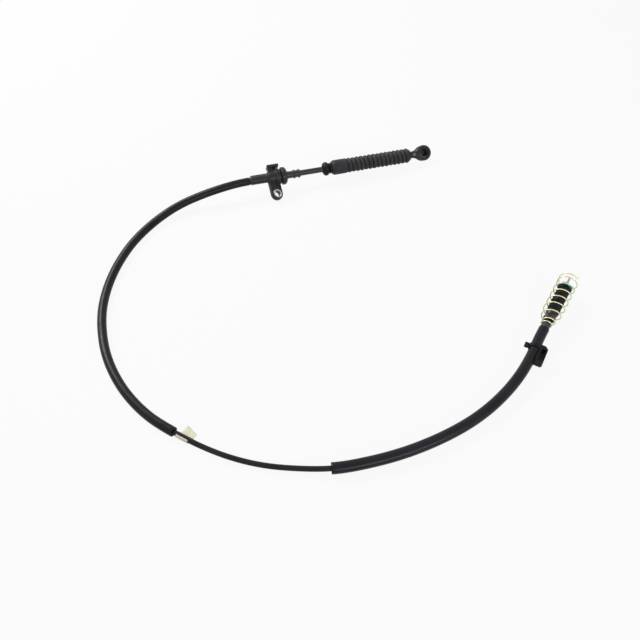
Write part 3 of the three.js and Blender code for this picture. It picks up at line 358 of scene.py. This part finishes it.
def rounded(points, radius=0.5, steps=3):
    """The outline with its corners rounded; a third number in a point is that corner's own radius."""
    points = [(*q, radius) if len(q) == 2 else q for q in points]
    closed = points[0][1] > 1e-6
    out = []
    for i, (x, r, fillet) in enumerate(points):
        at = Vector((x, r))
        if not closed and i in (0, len(points) - 1):
            out.append((x, r))
            continue
        before = Vector(points[i - 1][:2]) - at
        after = Vector(points[(i + 1) % len(points)][:2]) - at
        if fillet < 1e-6 or before.length < 1e-6 or after.length < 1e-6:
            out.append((x, r))
            continue
        angle = before.angle(after)
        cut = fillet / max(0.2, abs(sin(angle / 2) / max(cos(angle / 2), 1e-3)))
        cut = min(cut, before.length * 0.45, after.length * 0.45)
        a, b = at + before.normalized() * cut, at + after.normalized() * cut
        for k in range(steps + 1):
            t = k / steps
            q = a * (1 - t) ** 2 + at * (2 * t * (1 - t)) + b * t ** 2
            out.append((q.x, max(q.y, 0)))
    return out


def tube(start, end, outer, inner, fillet=0.4):
    return rounded([(start, outer / 2), (end, outer / 2), (end, inner / 2), (start, inner / 2)], fillet)


def plate(outline, low, high):
    """A prism of an XY outline between two heights."""
    count = len(outline)
    verts = [Vector((x, y, z)) for z in (low, high) for x, y in outline]
    faces = [tuple(range(count)), tuple(range(2 * count - 1, count - 1, -1))]
    faces += [(k, (k + 1) % count, count + (k + 1) % count, count + k) for k in range(count)]
    return verts, faces


def block(x, y, z):
    """A box between pairs of coordinates."""
    return plate([(x[0], y[0]), (x[1], y[0]), (x[1], y[1]), (x[0], y[1])], z[0], z[1])


def arc(x, y, radius, start, end, count):
    turns = [radians(start + (end - start) * k / count) for k in range(count + 1)]
    return [(x + radius * cos(t), y + radius * sin(t)) for t in turns]


def moved(shape, place):
    return [place @ v for v in shape[0]], shape[1]


def upright(profile, x, y, sides=72):
    """A turned solid along +Z at x and y."""
    return lathe(profile, Matrix.Translation((x, y, 0)) @ UPRIGHT, sides)


def pin(low, high, diameter):
    return [(low, 0), (low, diameter / 2), (high, diameter / 2), (high, 0)]


def sweep(points, outer, inner, sides=24, lip=0.4):
    """A pipe along points, with its end edges rounded; inner 0 makes it solid."""
    last = len(points) - 1
    tangents = [(points[min(i + 1, last)] - points[max(i - 1, 0)]).normalized() for i in range(last + 1)]
    side = tangents[0].cross(Vector((0, 0, 1))).normalized()
    frames = []
    for t in tangents:
        side = (side - t * side.dot(t)).normalized()
        frames.append((side.copy(), t.cross(side)))
    verts, faces, rings = [], [], []

    def ring(i, radius, shift=0.0):
        s, n = frames[i]
        centre = points[i] + tangents[i] * shift
        rings.append(len(verts))
        for k in range(sides):
            angle = 2 * pi * k / sides
            verts.append(centre + s * (radius * cos(angle)) + n * (radius * sin(angle)))

    ring(0, outer / 2 - lip)
    ring(0, outer / 2 - lip * 0.3, lip * 0.3)
    ring(0, outer / 2, lip)
    for i in range(1, last):
        ring(i, outer / 2)
    ring(last, outer / 2, -lip)
    ring(last, outer / 2 - lip * 0.3, -lip * 0.3)
    ring(last, outer / 2 - lip)
    if inner:
        for i in range(last, -1, -1):
            ring(i, inner / 2)
        rings.append(rings[0])
    else:
        faces += [tuple(range(sides)), tuple(range(rings[-1] + sides - 1, rings[-1] - 1, -1))]
    for a, b in zip(rings, rings[1:]):
        faces += [(a + k, b + k, b + (k + 1) % sides, a + (k + 1) % sides) for k in range(sides)]
    return verts, faces


def mesh_of(name, shape, scale=MM):
    mesh = bpy.data.meshes.new(name)
    mesh.from_pydata([tuple(v * scale) for v in shape[0]], [], shape[1])
    bm = bmesh.new()
    bm.from_mesh(mesh)
    bmesh.ops.remove_doubles(bm, verts=bm.verts, dist=1e-4 * scale)
    bmesh.ops.recalc_face_normals(bm, faces=bm.faces)
    bm.to_mesh(mesh)
    bm.free()
    return mesh


def piece(name, mesh, material, slot, body, *nodes, sharp=32):
    mesh.polygons.foreach_set("use_smooth", [True] * len(mesh.polygons))
    mesh.set_sharp_from_angle(angle=radians(sharp))
    obj = bpy.data.objects.new(name, mesh)
    bpy.context.collection.objects.link(obj)
    mesh.materials.clear()
    mesh.materials.append(material)
    if nodes:
        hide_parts(*nodes)
    if body:
        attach(obj, body)
    return obj


def made(name, shape, material, slot, body, *nodes, sharp=32):
    return piece(name, mesh_of(name, shape), material, slot, body, *nodes, sharp=sharp)


def together(shapes):
    """The shapes as one mesh, which a voxel remesh joins."""
    verts, faces = [], []
    for shape in shapes:
        faces += [tuple(q + len(verts) for q in face) for face in shape[1]]
        verts += shape[0]
    return verts, faces


def moulding(name, solids, cuts, place, voxel=0.42, soften=7):
    """One moulded solid: the solids joined, the cuts taken away, and its edges and inner corners softened."""
    objects = []
    for shape in [together(solids)] + cuts:
        objects.append(bpy.data.objects.new("work", mesh_of("work", shape, 1.0)))
        bpy.context.collection.objects.link(objects[-1])
    main = objects[0]

    def remesh():
        step = main.modifiers.new("remesh", "REMESH")
        step.mode = "VOXEL"
        step.voxel_size = voxel

    remesh()
    for tool in objects[1:]:
        step = main.modifiers.new("cut", "BOOLEAN")
        step.operation = "DIFFERENCE"
        step.solver = "EXACT"
        step.object = tool
    remesh()
    smooth = main.modifiers.new("smooth", "SMOOTH")
    smooth.factor = 0.5
    smooth.iterations = soften
    bpy.context.view_layer.update()
    graph = bpy.context.evaluated_depsgraph_get()
    mesh = bpy.data.meshes.new_from_object(main.evaluated_get(graph))
    mesh.name = name
    mesh.transform(Matrix.Scale(MM, 4) @ place)
    for obj in objects:
        bpy.data.objects.remove(obj)
    return mesh


# The cable
SHEATH_START = CONDUIT_SEAT + GAP
SHEATH_END = SHEATH_START + SHEATH_LENGTH
SLEEVE_START = SHEATH_END + BARE_LENGTH
SLEEVE_END = LENGTH - SLEEVE_SHORT

conduit_path = stretch(0, LENGTH, 4)
conduit = made("conduit_jacket", sweep(conduit_path, CONDUIT_D, CONDUIT_BORE_D, 28),
               JACKET, "jacket", "cable", "conduit")
core = made("core_strand", sweep(stretch(CORE_SHORT, LENGTH - CORE_SHORT, 6), CORE_D, 0, 12),
            CORE, "core", "cable", "core_wire")
sheath_path = stretch(SHEATH_START, SHEATH_END, 4)
sheath = made("first_sheath_tube", sweep(sheath_path, SHEATH_D, SHEATH_BORE_D, 40, 0.5),
              SHEATH, "sheath", "cable", "first_sheath")
sleeve_path = stretch(SLEEVE_START, SLEEVE_END, 4)
sleeve = made("second_sleeve_tube", sweep(sleeve_path, SLEEVE_D, SLEEVE_BORE_D, 44, 0.6),
              SLEEVE, "sleeve", "cable", "second_sleeve")


def tape_shape():
    """A band stuck round the near side of the conduit, whose free end stands off as a curled flag."""
    bore = CONDUIT_D / 2 + GAP
    half, outside = TAPE_LENGTH / 2, bore + TAPE_THICKNESS
    verts, faces, turns = [], [], 40
    for x, r in [(-half, bore), (-half, outside), (half, outside), (half, bore)]:
        for k in range(turns + 1):
            angle = radians(TAPE_START_DEG - TAPE_TURN_DEG * k / turns)
            verts.append(Vector((x, r * cos(angle), r * sin(angle))))
    for side in range(4):
        for k in range(turns):
            a, b = side * (turns + 1) + k, (side + 1) % 4 * (turns + 1) + k
            faces.append((a, b, b + 1, a + 1))
    faces += [tuple(q * (turns + 1) + end for q in range(4)) for end in (0, turns)]
    first = len(verts)
    columns, rows = 16, 12
    for side in (-FLAG_HALF, FLAG_HALF):
        for i in range(columns + 1):
            u = i / columns
            x = FLAG_OFFSET - half + FLAG_LENGTH * u
            drop = (FLAG_REACH - FLAG_SHORT_REACH) * max(0, u - FLAG_CORNER) / (1 - FLAG_CORNER)
            low = bore + 0.1
            high = bore + FLAG_REACH - drop
            for j in range(rows + 1):
                v = j / rows
                curl = 0.9 * sin(pi * v * 0.9) * (0.4 + 0.6 * u) - 0.7 * v * v + 0.25 * sin(7 * u + 2 * v)
                lean = x - (1 - u) * (1 - v) * 1.2
                verts.append(Vector((lean, low + (high - low) * v, curl * 0.6 + side)))
    sheet = (columns + 1) * (rows + 1)
    for i in range(columns):
        for j in range(rows):
            a = first + i * (rows + 1) + j
            quad = (a, a + 1, a + rows + 2, a + rows + 1)
            faces.append(quad)
            faces.append(tuple(q + sheet for q in reversed(quad)))
    rim = [first + i * (rows + 1) for i in range(columns + 1)]
    rim += [first + columns * (rows + 1) + j for j in range(1, rows + 1)]
    rim += [first + i * (rows + 1) + rows for i in range(columns - 1, -1, -1)]
    rim += [first + j for j in range(rows - 1, 0, -1)]
    for a, b in zip(rim, rim[1:] + rim[:1]):
        faces.append((a, b, b + sheet, a + sheet))
    return verts, faces


TAPE_PLACE = frame_on_route(SHEATH_END + TAPE_START_GAP + TAPE_LENGTH / 2)
tape = made("tape_wrap", moved(tape_shape(), TAPE_PLACE), TAPE, "tape", "cable", "marker_tape", sharp=50)


def clip_mesh(place):
    """The strap round the sleeve and the block that hangs from it."""
    strap_r = SLEEVE_D / 2 + GAP
    inner = -strap_r
    outer = inner - CLIP_DEPTH
    back, front = CLIP_BACK, CLIP_FRONT
    strap = lathe(pin(-STRAP_HALF, STRAP_HALF, 2 * (strap_r + STRAP_THICKNESS)), Matrix(), 72)
    outline = [(back, inner + 2), (back, outer + 1.5), (back + 1.5, outer), (front - 4, outer),
               (front, outer + 4), (front, inner + 2)]
    body = plate(outline, -CLIP_HALF, CLIP_HALF)
    bridge = block((-STRAP_HALF, STRAP_HALF), (inner - STRAP_THICKNESS, inner + 2.5), (-4.8, 4.8))
    hole = lathe(pin(-6, 6, 2 * strap_r), Matrix(), 72)
    pocket = block((back + CLIP_WALL, front - 4 - CLIP_WALL), (outer + CLIP_WALL, inner - CLIP_WALL),
                   (1.2, 7))
    slot = block((back + 5, back + 9), (outer - 1, outer + 1.2), (-2.5, 2.5))
    return moulding("clip_body", [strap, body, bridge], [hole, pocket, slot], place, 0.3, 3)


CLIP_AT = frame_on_route(SLEEVE_END - CLIP_FROM_SLEEVE_END)
clip_body = piece("clip_body", clip_mesh(CLIP_AT), CLIP, "clip", "cable", "sleeve_clip", sharp=60)
knob_start = SLEEVE_D / 2 + GAP + KNOB_GAP
knob_end = knob_start + KNOB_LENGTH
knob_profile = rounded([(knob_start, 0), (knob_start, 3.2), (knob_start + 1.6, KNOB_R), (knob_end, 3.5),
                        (knob_end, 1.6), (knob_end - 0.6, 1.4), (knob_end - 0.6, 0)], 0.5, 4)
clip_knob = made("clip_button", lathe(knob_profile, CLIP_AT @ Matrix.Rotation(pi / 2, 4, "Z"), 56),
                 CLIP, "clip", "cable", "clip_knob")


# The head: bracket and swivel
def bracket_mesh():
    """The casting: barrel, hub and collar round the axis, a rib and a post above, the ear below."""
    mouth = -CONDUIT_SEAT
    body = lathe(rounded([
        (mouth, 0), (mouth, 5.0), (mouth + 1.2, 5.8), (mouth + 2.6, 5.8, 0.2), (mouth + 2.9, BARREL_R, 0.3),
        (1.2, BARREL_R), (HUB_START, HUB_R), (COLLAR_START, HUB_R, 0.2), (COLLAR_START, COLLAR_R),
        (COLLAR_END, COLLAR_R), (COLLAR_END, 0)], 0.5), Matrix(), 96)
    left, right = POST_AT - POST_HALF, POST_AT + POST_HALF
    rise = [(left - 3, 7.8), (left - 1.4, 8.3), (left - 0.1, 9.5), (left + 0.8, POST_WAIST)]
    rib = plate([(mouth + 2.9, 3), (mouth + 2.9, 7.3), (mouth + 3.6, 7.8), *rise, (left + 4, POST_WAIST),
                 (left + 4, 3)], -1.25, 1.25)
    side = EAR_AT - EAR_HALF
    rim = arc(EAR_AT, -EAR_REACH, EAR_HALF, 180, 360, 32)
    ear = plate([(EAR_AT + EAR_HALF, -2), (side, -2)] + rim, -2.5, 2.5)
    walls = [plate([(x, -6), (x + 1.5, -6), (x + 1.5, -EAR_REACH), (x, -EAR_REACH)], -3.5, 3.5)
             for x in (side + 0.2, EAR_AT + 7.3)]
    spine_end = 8 - EAR_REACH
    spine = plate([(EAR_AT - 1, -8), (EAR_AT + 1, -8), (EAR_AT + 1, spine_end), (EAR_AT - 1, spine_end)],
                  -3.4, 3.4)
    boss = upright(pin(-BOSS_HALF, BOSS_HALF, 2 * BOSS_R), EAR_AT, -EAR_REACH)
    post = plate([(left + 1.5, 2), (right - 2.3, 2), (right - 5.3, POST_WAIST), (right - 4.3, 13.8),
                  (right, 16.3), (right, POST_REACH), (left, POST_REACH)], -4, 4)
    saddle = block((left, right), (POST_REACH - 4, POST_REACH), (-6.5, 6.5))
    mark = upright(pin(0, 10.8, 4), EAR_AT - 3, 0, 40)
    cuts = [
        lathe(pin(mouth - 1, GAP, CONDUIT_D + 2 * GAP), Matrix(), 72),
        lathe(pin(0, COLLAR_END + 1, 6), Matrix(), 48),
        lathe(pin(BALL_AT - SEAT_R, COLLAR_END + 1, 2 * SEAT_R), Matrix(), 72),
        moved(upright(pin(-6, 6, 14), EAR_AT, -EAR_REACH), EAR),
        lathe(pin(left - 9, right + 9, 8), Matrix.Translation((0, POST_REACH + 2.4, 0)), 64),
        block((POST_AT - 1.5, POST_AT + 3.3), (10.8, 14.6), (1.4, 6)),
    ]
    turned = [moved(shape, EAR) for shape in (ear, *walls, spine, boss)]
    return moulding("bracket_casting", [body, rib, *turned, post, saddle, mark], cuts, BRACKET, 0.3, 4)


piece("bracket_casting", bracket_mesh(), CASTING, "casting", "cable", "head_bracket", sharp=60)
bushing = tube(-BUSHING_HALF, BUSHING_HALF, BUSHING_D, BUSHING_BORE_D, 0.5)
made("bushing_sleeve", moved(upright(bushing, EAR_AT, -EAR_REACH, 96), BRACKET @ EAR),
     BUSHING_WITH_PAINTED_SHADE, "steel", "cable", "ear_bushing")
isolator = tube(COLLAR_END + GAP, CAP_START - GAP, 21, 2 * SEAT_R, 0.5)
made("isolator", lathe(isolator, HEAD, 96), RUBBER, "rubber", "cable", "isolator_ring")


def cap_profile():
    """The flange that closes the socket, with a seat for the ball and room for the swing at its mouth."""
    seat = []
    for k in range(1, 4):
        reach = SEAT_END - 0.4 * k
        seat.append((BALL_AT + reach, sqrt(SEAT_R ** 2 - reach ** 2), 0))
    mouth = SHOULDER_R + 0.2 + (CAP_END - BALL_AT) * SWING_SPREAD
    return rounded([
        (CAP_START, 12.6, 0.4), (CAP_START + 1.1, 13.35, 0.3), (CAP_START + 3.5, 13.35, 0.3),
        (CAP_START + 3.9, 12.8, 0.2), (CAP_START + 4.4, CAP_R, 0.3), (CAP_END - 2.6, CAP_R, 0.6),
        (CAP_END, 10.7, 0.5), (CAP_END, mouth, 0.3), *seat, (CAP_START, 6.66, 0),
    ], 0.3)


made("swivel_cap", lathe(cap_profile(), HEAD, 96), CASTING, "casting", "cable", "flange_cap")


def guide_profile():
    """The ball, the shoulder in front of the cap, two beads and the thinner tube in the boot."""
    ball = []
    for k in range(15):
        reach = BALL_SPAN * k / 14 - BALL_BACK
        ball.append((BALL_AT + reach, sqrt(BALL_R ** 2 - reach ** 2), 0))

    def bead(x):
        return [(x - 1.5, TUBE_R, 0.3), (x - 1.1, 6.4, 0.7), (x, 7.0, 1.2), (x + 1.1, 6.4, 0.7),
                (x + 1.5, TUBE_R, 0.3)]

    return rounded([
        *ball, (32.2, TUBE_R, 0), (32.2, SHOULDER_R, 0.2), (35.1, SHOULDER_R, 0.3), (35.4, TUBE_R, 0.3),
        *bead(44.6), *bead(51.8), (54.4, TUBE_R, 0.3), (54.9, TUBE_THIN_R, 0.3), (118, TUBE_THIN_R, 0.6),
        (118, TUBE_BORE_R, 0.4), (BALL_AT - BALL_BACK, TUBE_BORE_R, 0),
    ], 0.3, 4)


made("guide_tube_steel", lathe(guide_profile(), HEAD, 72), BLACK_STEEL, "black_steel", "swivel_tube",
     "head_guide_tube")

bead_arc = [(95.6 + 4.8 * cos(t), 5.6 + 4.75 * sin(t), 0) for t in [radians(178 - 8 * k) for k in range(22)]]
seal_profile = rounded([
    (92.9, 5.0, 0.4), *bead_arc, (100.5, 7.0, 0.3), (101.3, 8.0, 0.3), (102.6, 8.1, 0.3), (103.0, 7.6, 0.2),
    (104.8, 7.8, 0.2), (104.8, 6.9, 0), (120.9, 6.9, 0.4), (120.9, 4.55, 0.2), (94.9, 4.55, 0.4),
], 0.5, 4)
made("seal_ring", lathe(seal_profile, HEAD, 96), RUBBER, "rubber", "swivel_tube", "boot_seal")


def boot_profile():
    """A smooth cuff, the folds, of which every third is a little lower, and the collar at the eye."""
    cuff = rounded([
        (CUFF_AT, 8.7, 0.3), (CUFF_AT + 0.6, 9.9, 1.2), (CUFF_AT + 3.6, CUFF_R, 3.0),
        (CUFF_AT + 16, CUFF_R, 1.0), (FOLDS_AT - 1.4, 11.15, 0.6), (FOLDS_AT, 10.6, 0)], 0.5, 4)[: -1]
    start = [(CUFF_AT, 8.7)] + cuff[1:]
    folds = []
    for i in range(FOLDS):
        for k in range(12):
            u = k / 12
            crest = abs(sin(pi * u)) ** 0.62
            size = CUFF_R - 0.25 * (i % 3 == 1)
            folds.append((FOLDS_AT + (i + u) * FOLD_PITCH, FOLD_ROOT_R + (size - FOLD_ROOT_R) * crest))
    collar = rounded([
        (BOOT_END, FOLD_ROOT_R, 0), (COLLAR_STOP, 8.6, 0.9), (COLLAR_STOP, 5.55, 0.4),
        (BOOT_END - 2.6, 5.55, 0.6), (BOOT_END - 6.5, BOOT_BORE_R, 0.6), (CUFF_AT, BOOT_BORE_R, 0)], 0.4, 4)
    return start + folds + collar


boot = made("boot_bellows", lathe(boot_profile(), HEAD, 84), BOOT_RUBBER, "boot_rubber", None, "head_boot",
            sharp=70)
rod_profile = rounded([
    (ROD_START, 0), (ROD_START, 2.25), (ROD_START + 0.5, ROD_R), (224.4, ROD_R), (224.4, 2.25),
    (227.4, 2.25), (227.4, ROD_R), (COLLAR_STOP, ROD_R), (COLLAR_STOP, 0)], 0.15, 2)
made("push_rod", lathe(rod_profile, HEAD, 40), STEEL, "steel", "eye_rod", "head_rod")


# The head: eye
def eye_mesh():
    """The disc with its blind cup and the neck that flares into it, trimmed to the disc's thickness."""
    at = Matrix.Translation((-EYE_AT, 0, 0))
    bevel = 1.5
    disc = upright(rounded([
        (-EYE_HALF, 0), (-EYE_HALF, EYE_R - bevel), (bevel - EYE_HALF, EYE_R), (EYE_HALF - bevel, EYE_R),
        (EYE_HALF, EYE_R - bevel), (EYE_HALF, 0)], 0.6), 0, 0, 96)
    neck = moved(lathe([(SHANK_START, 0), (SHANK_START, NECK_R), (239.4, NECK_R), (242.6, 5.7), (245.4, 6.8),
                        (248, 8.6), (250.6, 10.5), (252.8, 11.5), (254.4, 0)], Matrix(), 96), at)
    cuts = [
        block((-40, 30), (-40, 40), (EYE_HALF, 30)),
        block((-40, 30), (-40, 40), (-30, -EYE_HALF)),
        upright(pin(EYE_FLOOR - EYE_HALF, 20, EYE_BORE_D), 0, 0, 96),
        moved(lathe(pin(SHANK_START - 1, COLLAR_STOP + GAP, 6.1), Matrix(), 48), at),
        upright(pin(EYE_HALF - WINDOW_DEPTH, 9, WINDOW_D), WINDOW_AT, 0, 48),
    ]
    return moulding("eye_moulding", [disc, neck], cuts, EYE, 0.34, 4)


piece("eye_moulding", eye_mesh(), CASTING, "casting", "eye_rod", "eye_housing", sharp=60)
insert_profile = rounded([(-2.95, 7.2), (3.45, 7.2), (4.05, 6.6), (4.05, 6.0), (2.85, 5.4), (-1.75, 5.4),
                          (-2.95, 4.4)], 0.3, 3)
made("socket_insert", lathe(insert_profile, EYE @ UPRIGHT, 96), INSERT_WITH_PAINTED_SHADE, "insert", "eye_rod", "eye_insert")
plug_profile = rounded([(4.0, 0), (4.0, 2.5), (4.9, 2.6), (5.05, 1.9), (4.8, 0)], 0.2, 3)
made("window_disc", moved(upright(plug_profile, WINDOW_AT, 0, 40), EYE), PLUG, "insert", "eye_rod")

# The tail
ferrule_profile = rounded([
    (-16, 4.4), (-3.7, 4.4, 0.2), (-3.7, FERRULE_R, 0.4), (2.4, FERRULE_R, 0.3), (2.9, 5.3, 0.3),
    (3.6, 5.3, 0.3), (4.1, FERRULE_R, 0.3), (FERRULE_END - 0.9, FERRULE_R, 0.5), (FERRULE_END, 4.75, 0.3),
    (FERRULE_END, 2.5, 0.2), (GAP, 2.5, 0.2), (GAP, 3.5, 0.1), (-16, 3.5, 0.2)], 0.3)
made("tail_ferrule_cap", lathe(ferrule_profile, TAIL, 72),
     BLACK_STEEL, "black_steel", "cable", "tail_ferrule")
neck_profile = rounded([
    (7.1, 4.9), (7.9, 4.9), (8.3, 4.0), (9.4, 4.0), (9.8, 4.9), (10.6, 4.9), (10.6, 2.5), (7.1, 2.5)], 0.3)
made("tail_neck", lathe(neck_profile, TAIL, 64), RUBBER, "rubber", "cable", "tail_grommet")


def hex_mesh():
    """Six flats, a taper and the spigot that carries the bellows."""
    corner = HEX_R / cos(pi / 6)
    hex_end = HEX_AT + HEX_LENGTH
    hexagon = lathe([(HEX_AT, 0), (HEX_AT, corner - 0.9), (HEX_AT + 0.7, corner), (hex_end - 0.7, corner),
                     (hex_end, corner - 0.7), (hex_end, 0)], Matrix(), 6)
    taper = lathe([(hex_end - 0.5, 0), (hex_end - 0.5, 6.3), (hex_end + 1.1, HEX_R), (TAPER_END - 0.5, 7.7),
                   (TAPER_END, 7.5), (TAPER_END, 0)], Matrix(), 96)
    spigot = lathe(pin(TAPER_END - 1, TAPER_END + 5, 9.8), Matrix(), 72)
    cuts = [lathe(pin(HEX_AT - 1, TAPER_END + 6, 5), Matrix(), 48),
            lathe(pin(TAPER_END - 4, TAPER_END + 6, 8.6), Matrix(), 64)]
    return moulding("taper_fitting", [hexagon, taper, spigot], cuts, TAIL, 0.26, 2)


piece("taper_fitting", hex_mesh(), BROWN, "brown", "cable", "tail_hex_fitting", sharp=40)
made("tail_tube_steel", lathe(tube(TAPER_END - 3.7, 50.2, 8, 5), TAIL, 56),
     BLACK_STEEL, "black_steel", "cable", "tail_guide_tube")


def bellows_profile():
    out = []
    for i in range(TAIL_FOLDS):
        for k in range(12):
            u = k / 12
            radius = TAIL_ROOT_R + TAIL_FOLD_RISE * abs(sin(pi * u)) ** 0.7
            out.append((BELLOWS_AT + (i + u) * TAIL_FOLD_PITCH, radius))
    return out + [(BELLOWS_END, TAIL_ROOT_R), (BELLOWS_END, 5.2), (BELLOWS_AT, 5.2)]


bellows = made("tail_bellows_rubber", lathe(bellows_profile(), TAIL, 72), RUBBER, "rubber", None,
               "tail_bellows", sharp=70)
ring_profile = rounded([
    (RING_START, RING_R, 0.3), (RING_END - 1.2, RING_R, 0.5), (RING_END, 8.4, 0.4), (RING_END, 6.2, 0.3),
    (RING_END - 0.8, 5.6, 0.3), (RING_END - 0.8, 1.6, 0.2), (72.5, 1.6, 0.2), (72.5, RING_R - 0.8, 0.2),
    (RING_START, RING_R - 0.8, 0.2)], 0.3)
made("ring_cap_teal", lathe(ring_profile, TAIL, 84), TEAL, "teal", "tail_plunger", "ring_cap")
tail_rod_profile = rounded([
    (22, 0), (22, 1.9), (22.4, 2.25), (BELLOWS_END, 2.25), (BELLOWS_END, TIP_R), (TIP_END - 0.9, TIP_R),
    (TIP_END, 0.8), (TIP_END, 0)], 0.15, 2)
made("tail_rod_steel", lathe(tail_rod_profile, TAIL, 36), CORE, "core", "tail_plunger", "tail_rod")


def spring_points():
    """One turn that grips the ferrule, a cone, full turns and a closed end."""
    grip, cone, full, closed = 1, 2, 4.2, 1.2
    grip_pitch, cone_run, pitch, closed_pitch = 4.5, 22.7, 12.2, 6.1
    seat = FERRULE_END - 4.3
    turns, count, points = grip + cone + full + closed, 500, []
    for k in range(count + 1):
        turn = turns * k / count
        wide = min(1, max(0, turn - grip) / cone)
        run = min(full, max(0, turn - grip - cone))
        rest = max(0, turn - grip - cone - full)
        radius = (GRIP_D + (SPRING_D - GRIP_D) * sin(wide * pi / 2)) / 2
        station = seat + min(turn, grip) * grip_pitch + cone_run * wide ** 1.2 + run * pitch
        station += rest * closed_pitch
        angle = 2 * pi * turn
        points.append(TAIL @ Vector((station, radius * cos(angle), radius * sin(angle))))
    return points


made("return_spring", sweep(spring_points(), WIRE_D, 0, 14, 0.3),
     ZINC, "zinc", "cable", "tail_spring", sharp=50)

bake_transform(boot)
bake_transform(bellows)


# Floor, light and background
def background_rays(nodes, links):
    """1 for camera, glossy and transmission rays, which see the white background, and 0 for the rest."""
    path = nodes.new("ShaderNodeLightPath")
    value = path.outputs["Is Camera Ray"]
    for kind in ("Is Glossy Ray", "Is Transmission Ray"):
        either = nodes.new("ShaderNodeMath")
        either.operation = "MAXIMUM"
        links.new(value, either.inputs[0])
        links.new(path.outputs[kind], either.inputs[1])
        value = either.outputs["Value"]
    return value


FLOOR_REACH = 5
FLOOR_GREY = (0.6, 0.6, 0.6, 1)
WHITE = (1, 1, 1, 1)
WHITE_SHARE = 0.92  # of the floor's white, beside its lit grey, which keeps the shadow
ROOM_GREY = (0.24, 0.24, 0.25, 1)

floor_mesh = bpy.data.meshes.new("floor")
corners = [(-FLOOR_REACH, -FLOOR_REACH, 0), (FLOOR_REACH, -FLOOR_REACH, 0), (FLOOR_REACH, FLOOR_REACH, 0),
           (-FLOOR_REACH, FLOOR_REACH, 0)]
floor_mesh.from_pydata(corners, [], [(0, 1, 2, 3)])
floor = bpy.data.objects.new("floor", floor_mesh)
bpy.context.collection.objects.link(floor)
paper = bpy.data.materials.new("paper")
paper.use_nodes = True
nodes, links = paper.node_tree.nodes, paper.node_tree.links
nodes.clear()
out = nodes.new("ShaderNodeOutputMaterial")
diffuse = nodes.new("ShaderNodeBsdfDiffuse")
diffuse.inputs["Color"].default_value = FLOOR_GREY
glow = nodes.new("ShaderNodeEmission")
glow.inputs["Color"].default_value = WHITE
glow.inputs["Strength"].default_value = 1.0
share = nodes.new("ShaderNodeMath")
share.operation = "MULTIPLY"
share.inputs[1].default_value = WHITE_SHARE
links.new(background_rays(nodes, links), share.inputs[0])
mix = nodes.new("ShaderNodeMixShader")
links.new(share.outputs["Value"], mix.inputs["Fac"])
links.new(diffuse.outputs["BSDF"], mix.inputs[1])
links.new(glow.outputs["Emission"], mix.inputs[2])
links.new(mix.outputs["Shader"], out.inputs["Surface"])
floor_mesh.materials.append(paper)

world = bpy.data.worlds.new("studio")
bpy.context.scene.world = world
world.use_nodes = True
nodes, links = world.node_tree.nodes, world.node_tree.links
nodes.clear()
out = nodes.new("ShaderNodeOutputWorld")
lit = nodes.new("ShaderNodeBackground")
lit.inputs["Color"].default_value = ROOM_GREY
white = nodes.new("ShaderNodeBackground")
white.inputs["Color"].default_value = WHITE
mix = nodes.new("ShaderNodeMixShader")
links.new(background_rays(nodes, links), mix.inputs["Fac"])
links.new(lit.outputs["Background"], mix.inputs[1])
links.new(white.outputs["Background"], mix.inputs[2])
links.new(mix.outputs["Shader"], out.inputs["Surface"])


LAMP_AIM = (-0.1, -0.1, 0)


def softbox(name, place, size, power):
    light = bpy.data.lights.new(name, "AREA")
    light.shape = "RECTANGLE"
    light.size, light.size_y = size
    light.energy = power
    obj = bpy.data.objects.new(name, light)
    bpy.context.collection.objects.link(obj)
    obj.location = place
    obj.rotation_euler = (Vector(LAMP_AIM) - Vector(place)).to_track_quat("-Z", "Y").to_euler()


softbox("key", place=(-1.2, 0.9, 1.25), size=(1.3, 0.4), power=32)
softbox("front", place=(0.7, -1.6, 0.75), size=(1.6, 0.3), power=13)

bpy.context.scene.view_settings.view_transform = "Standard"
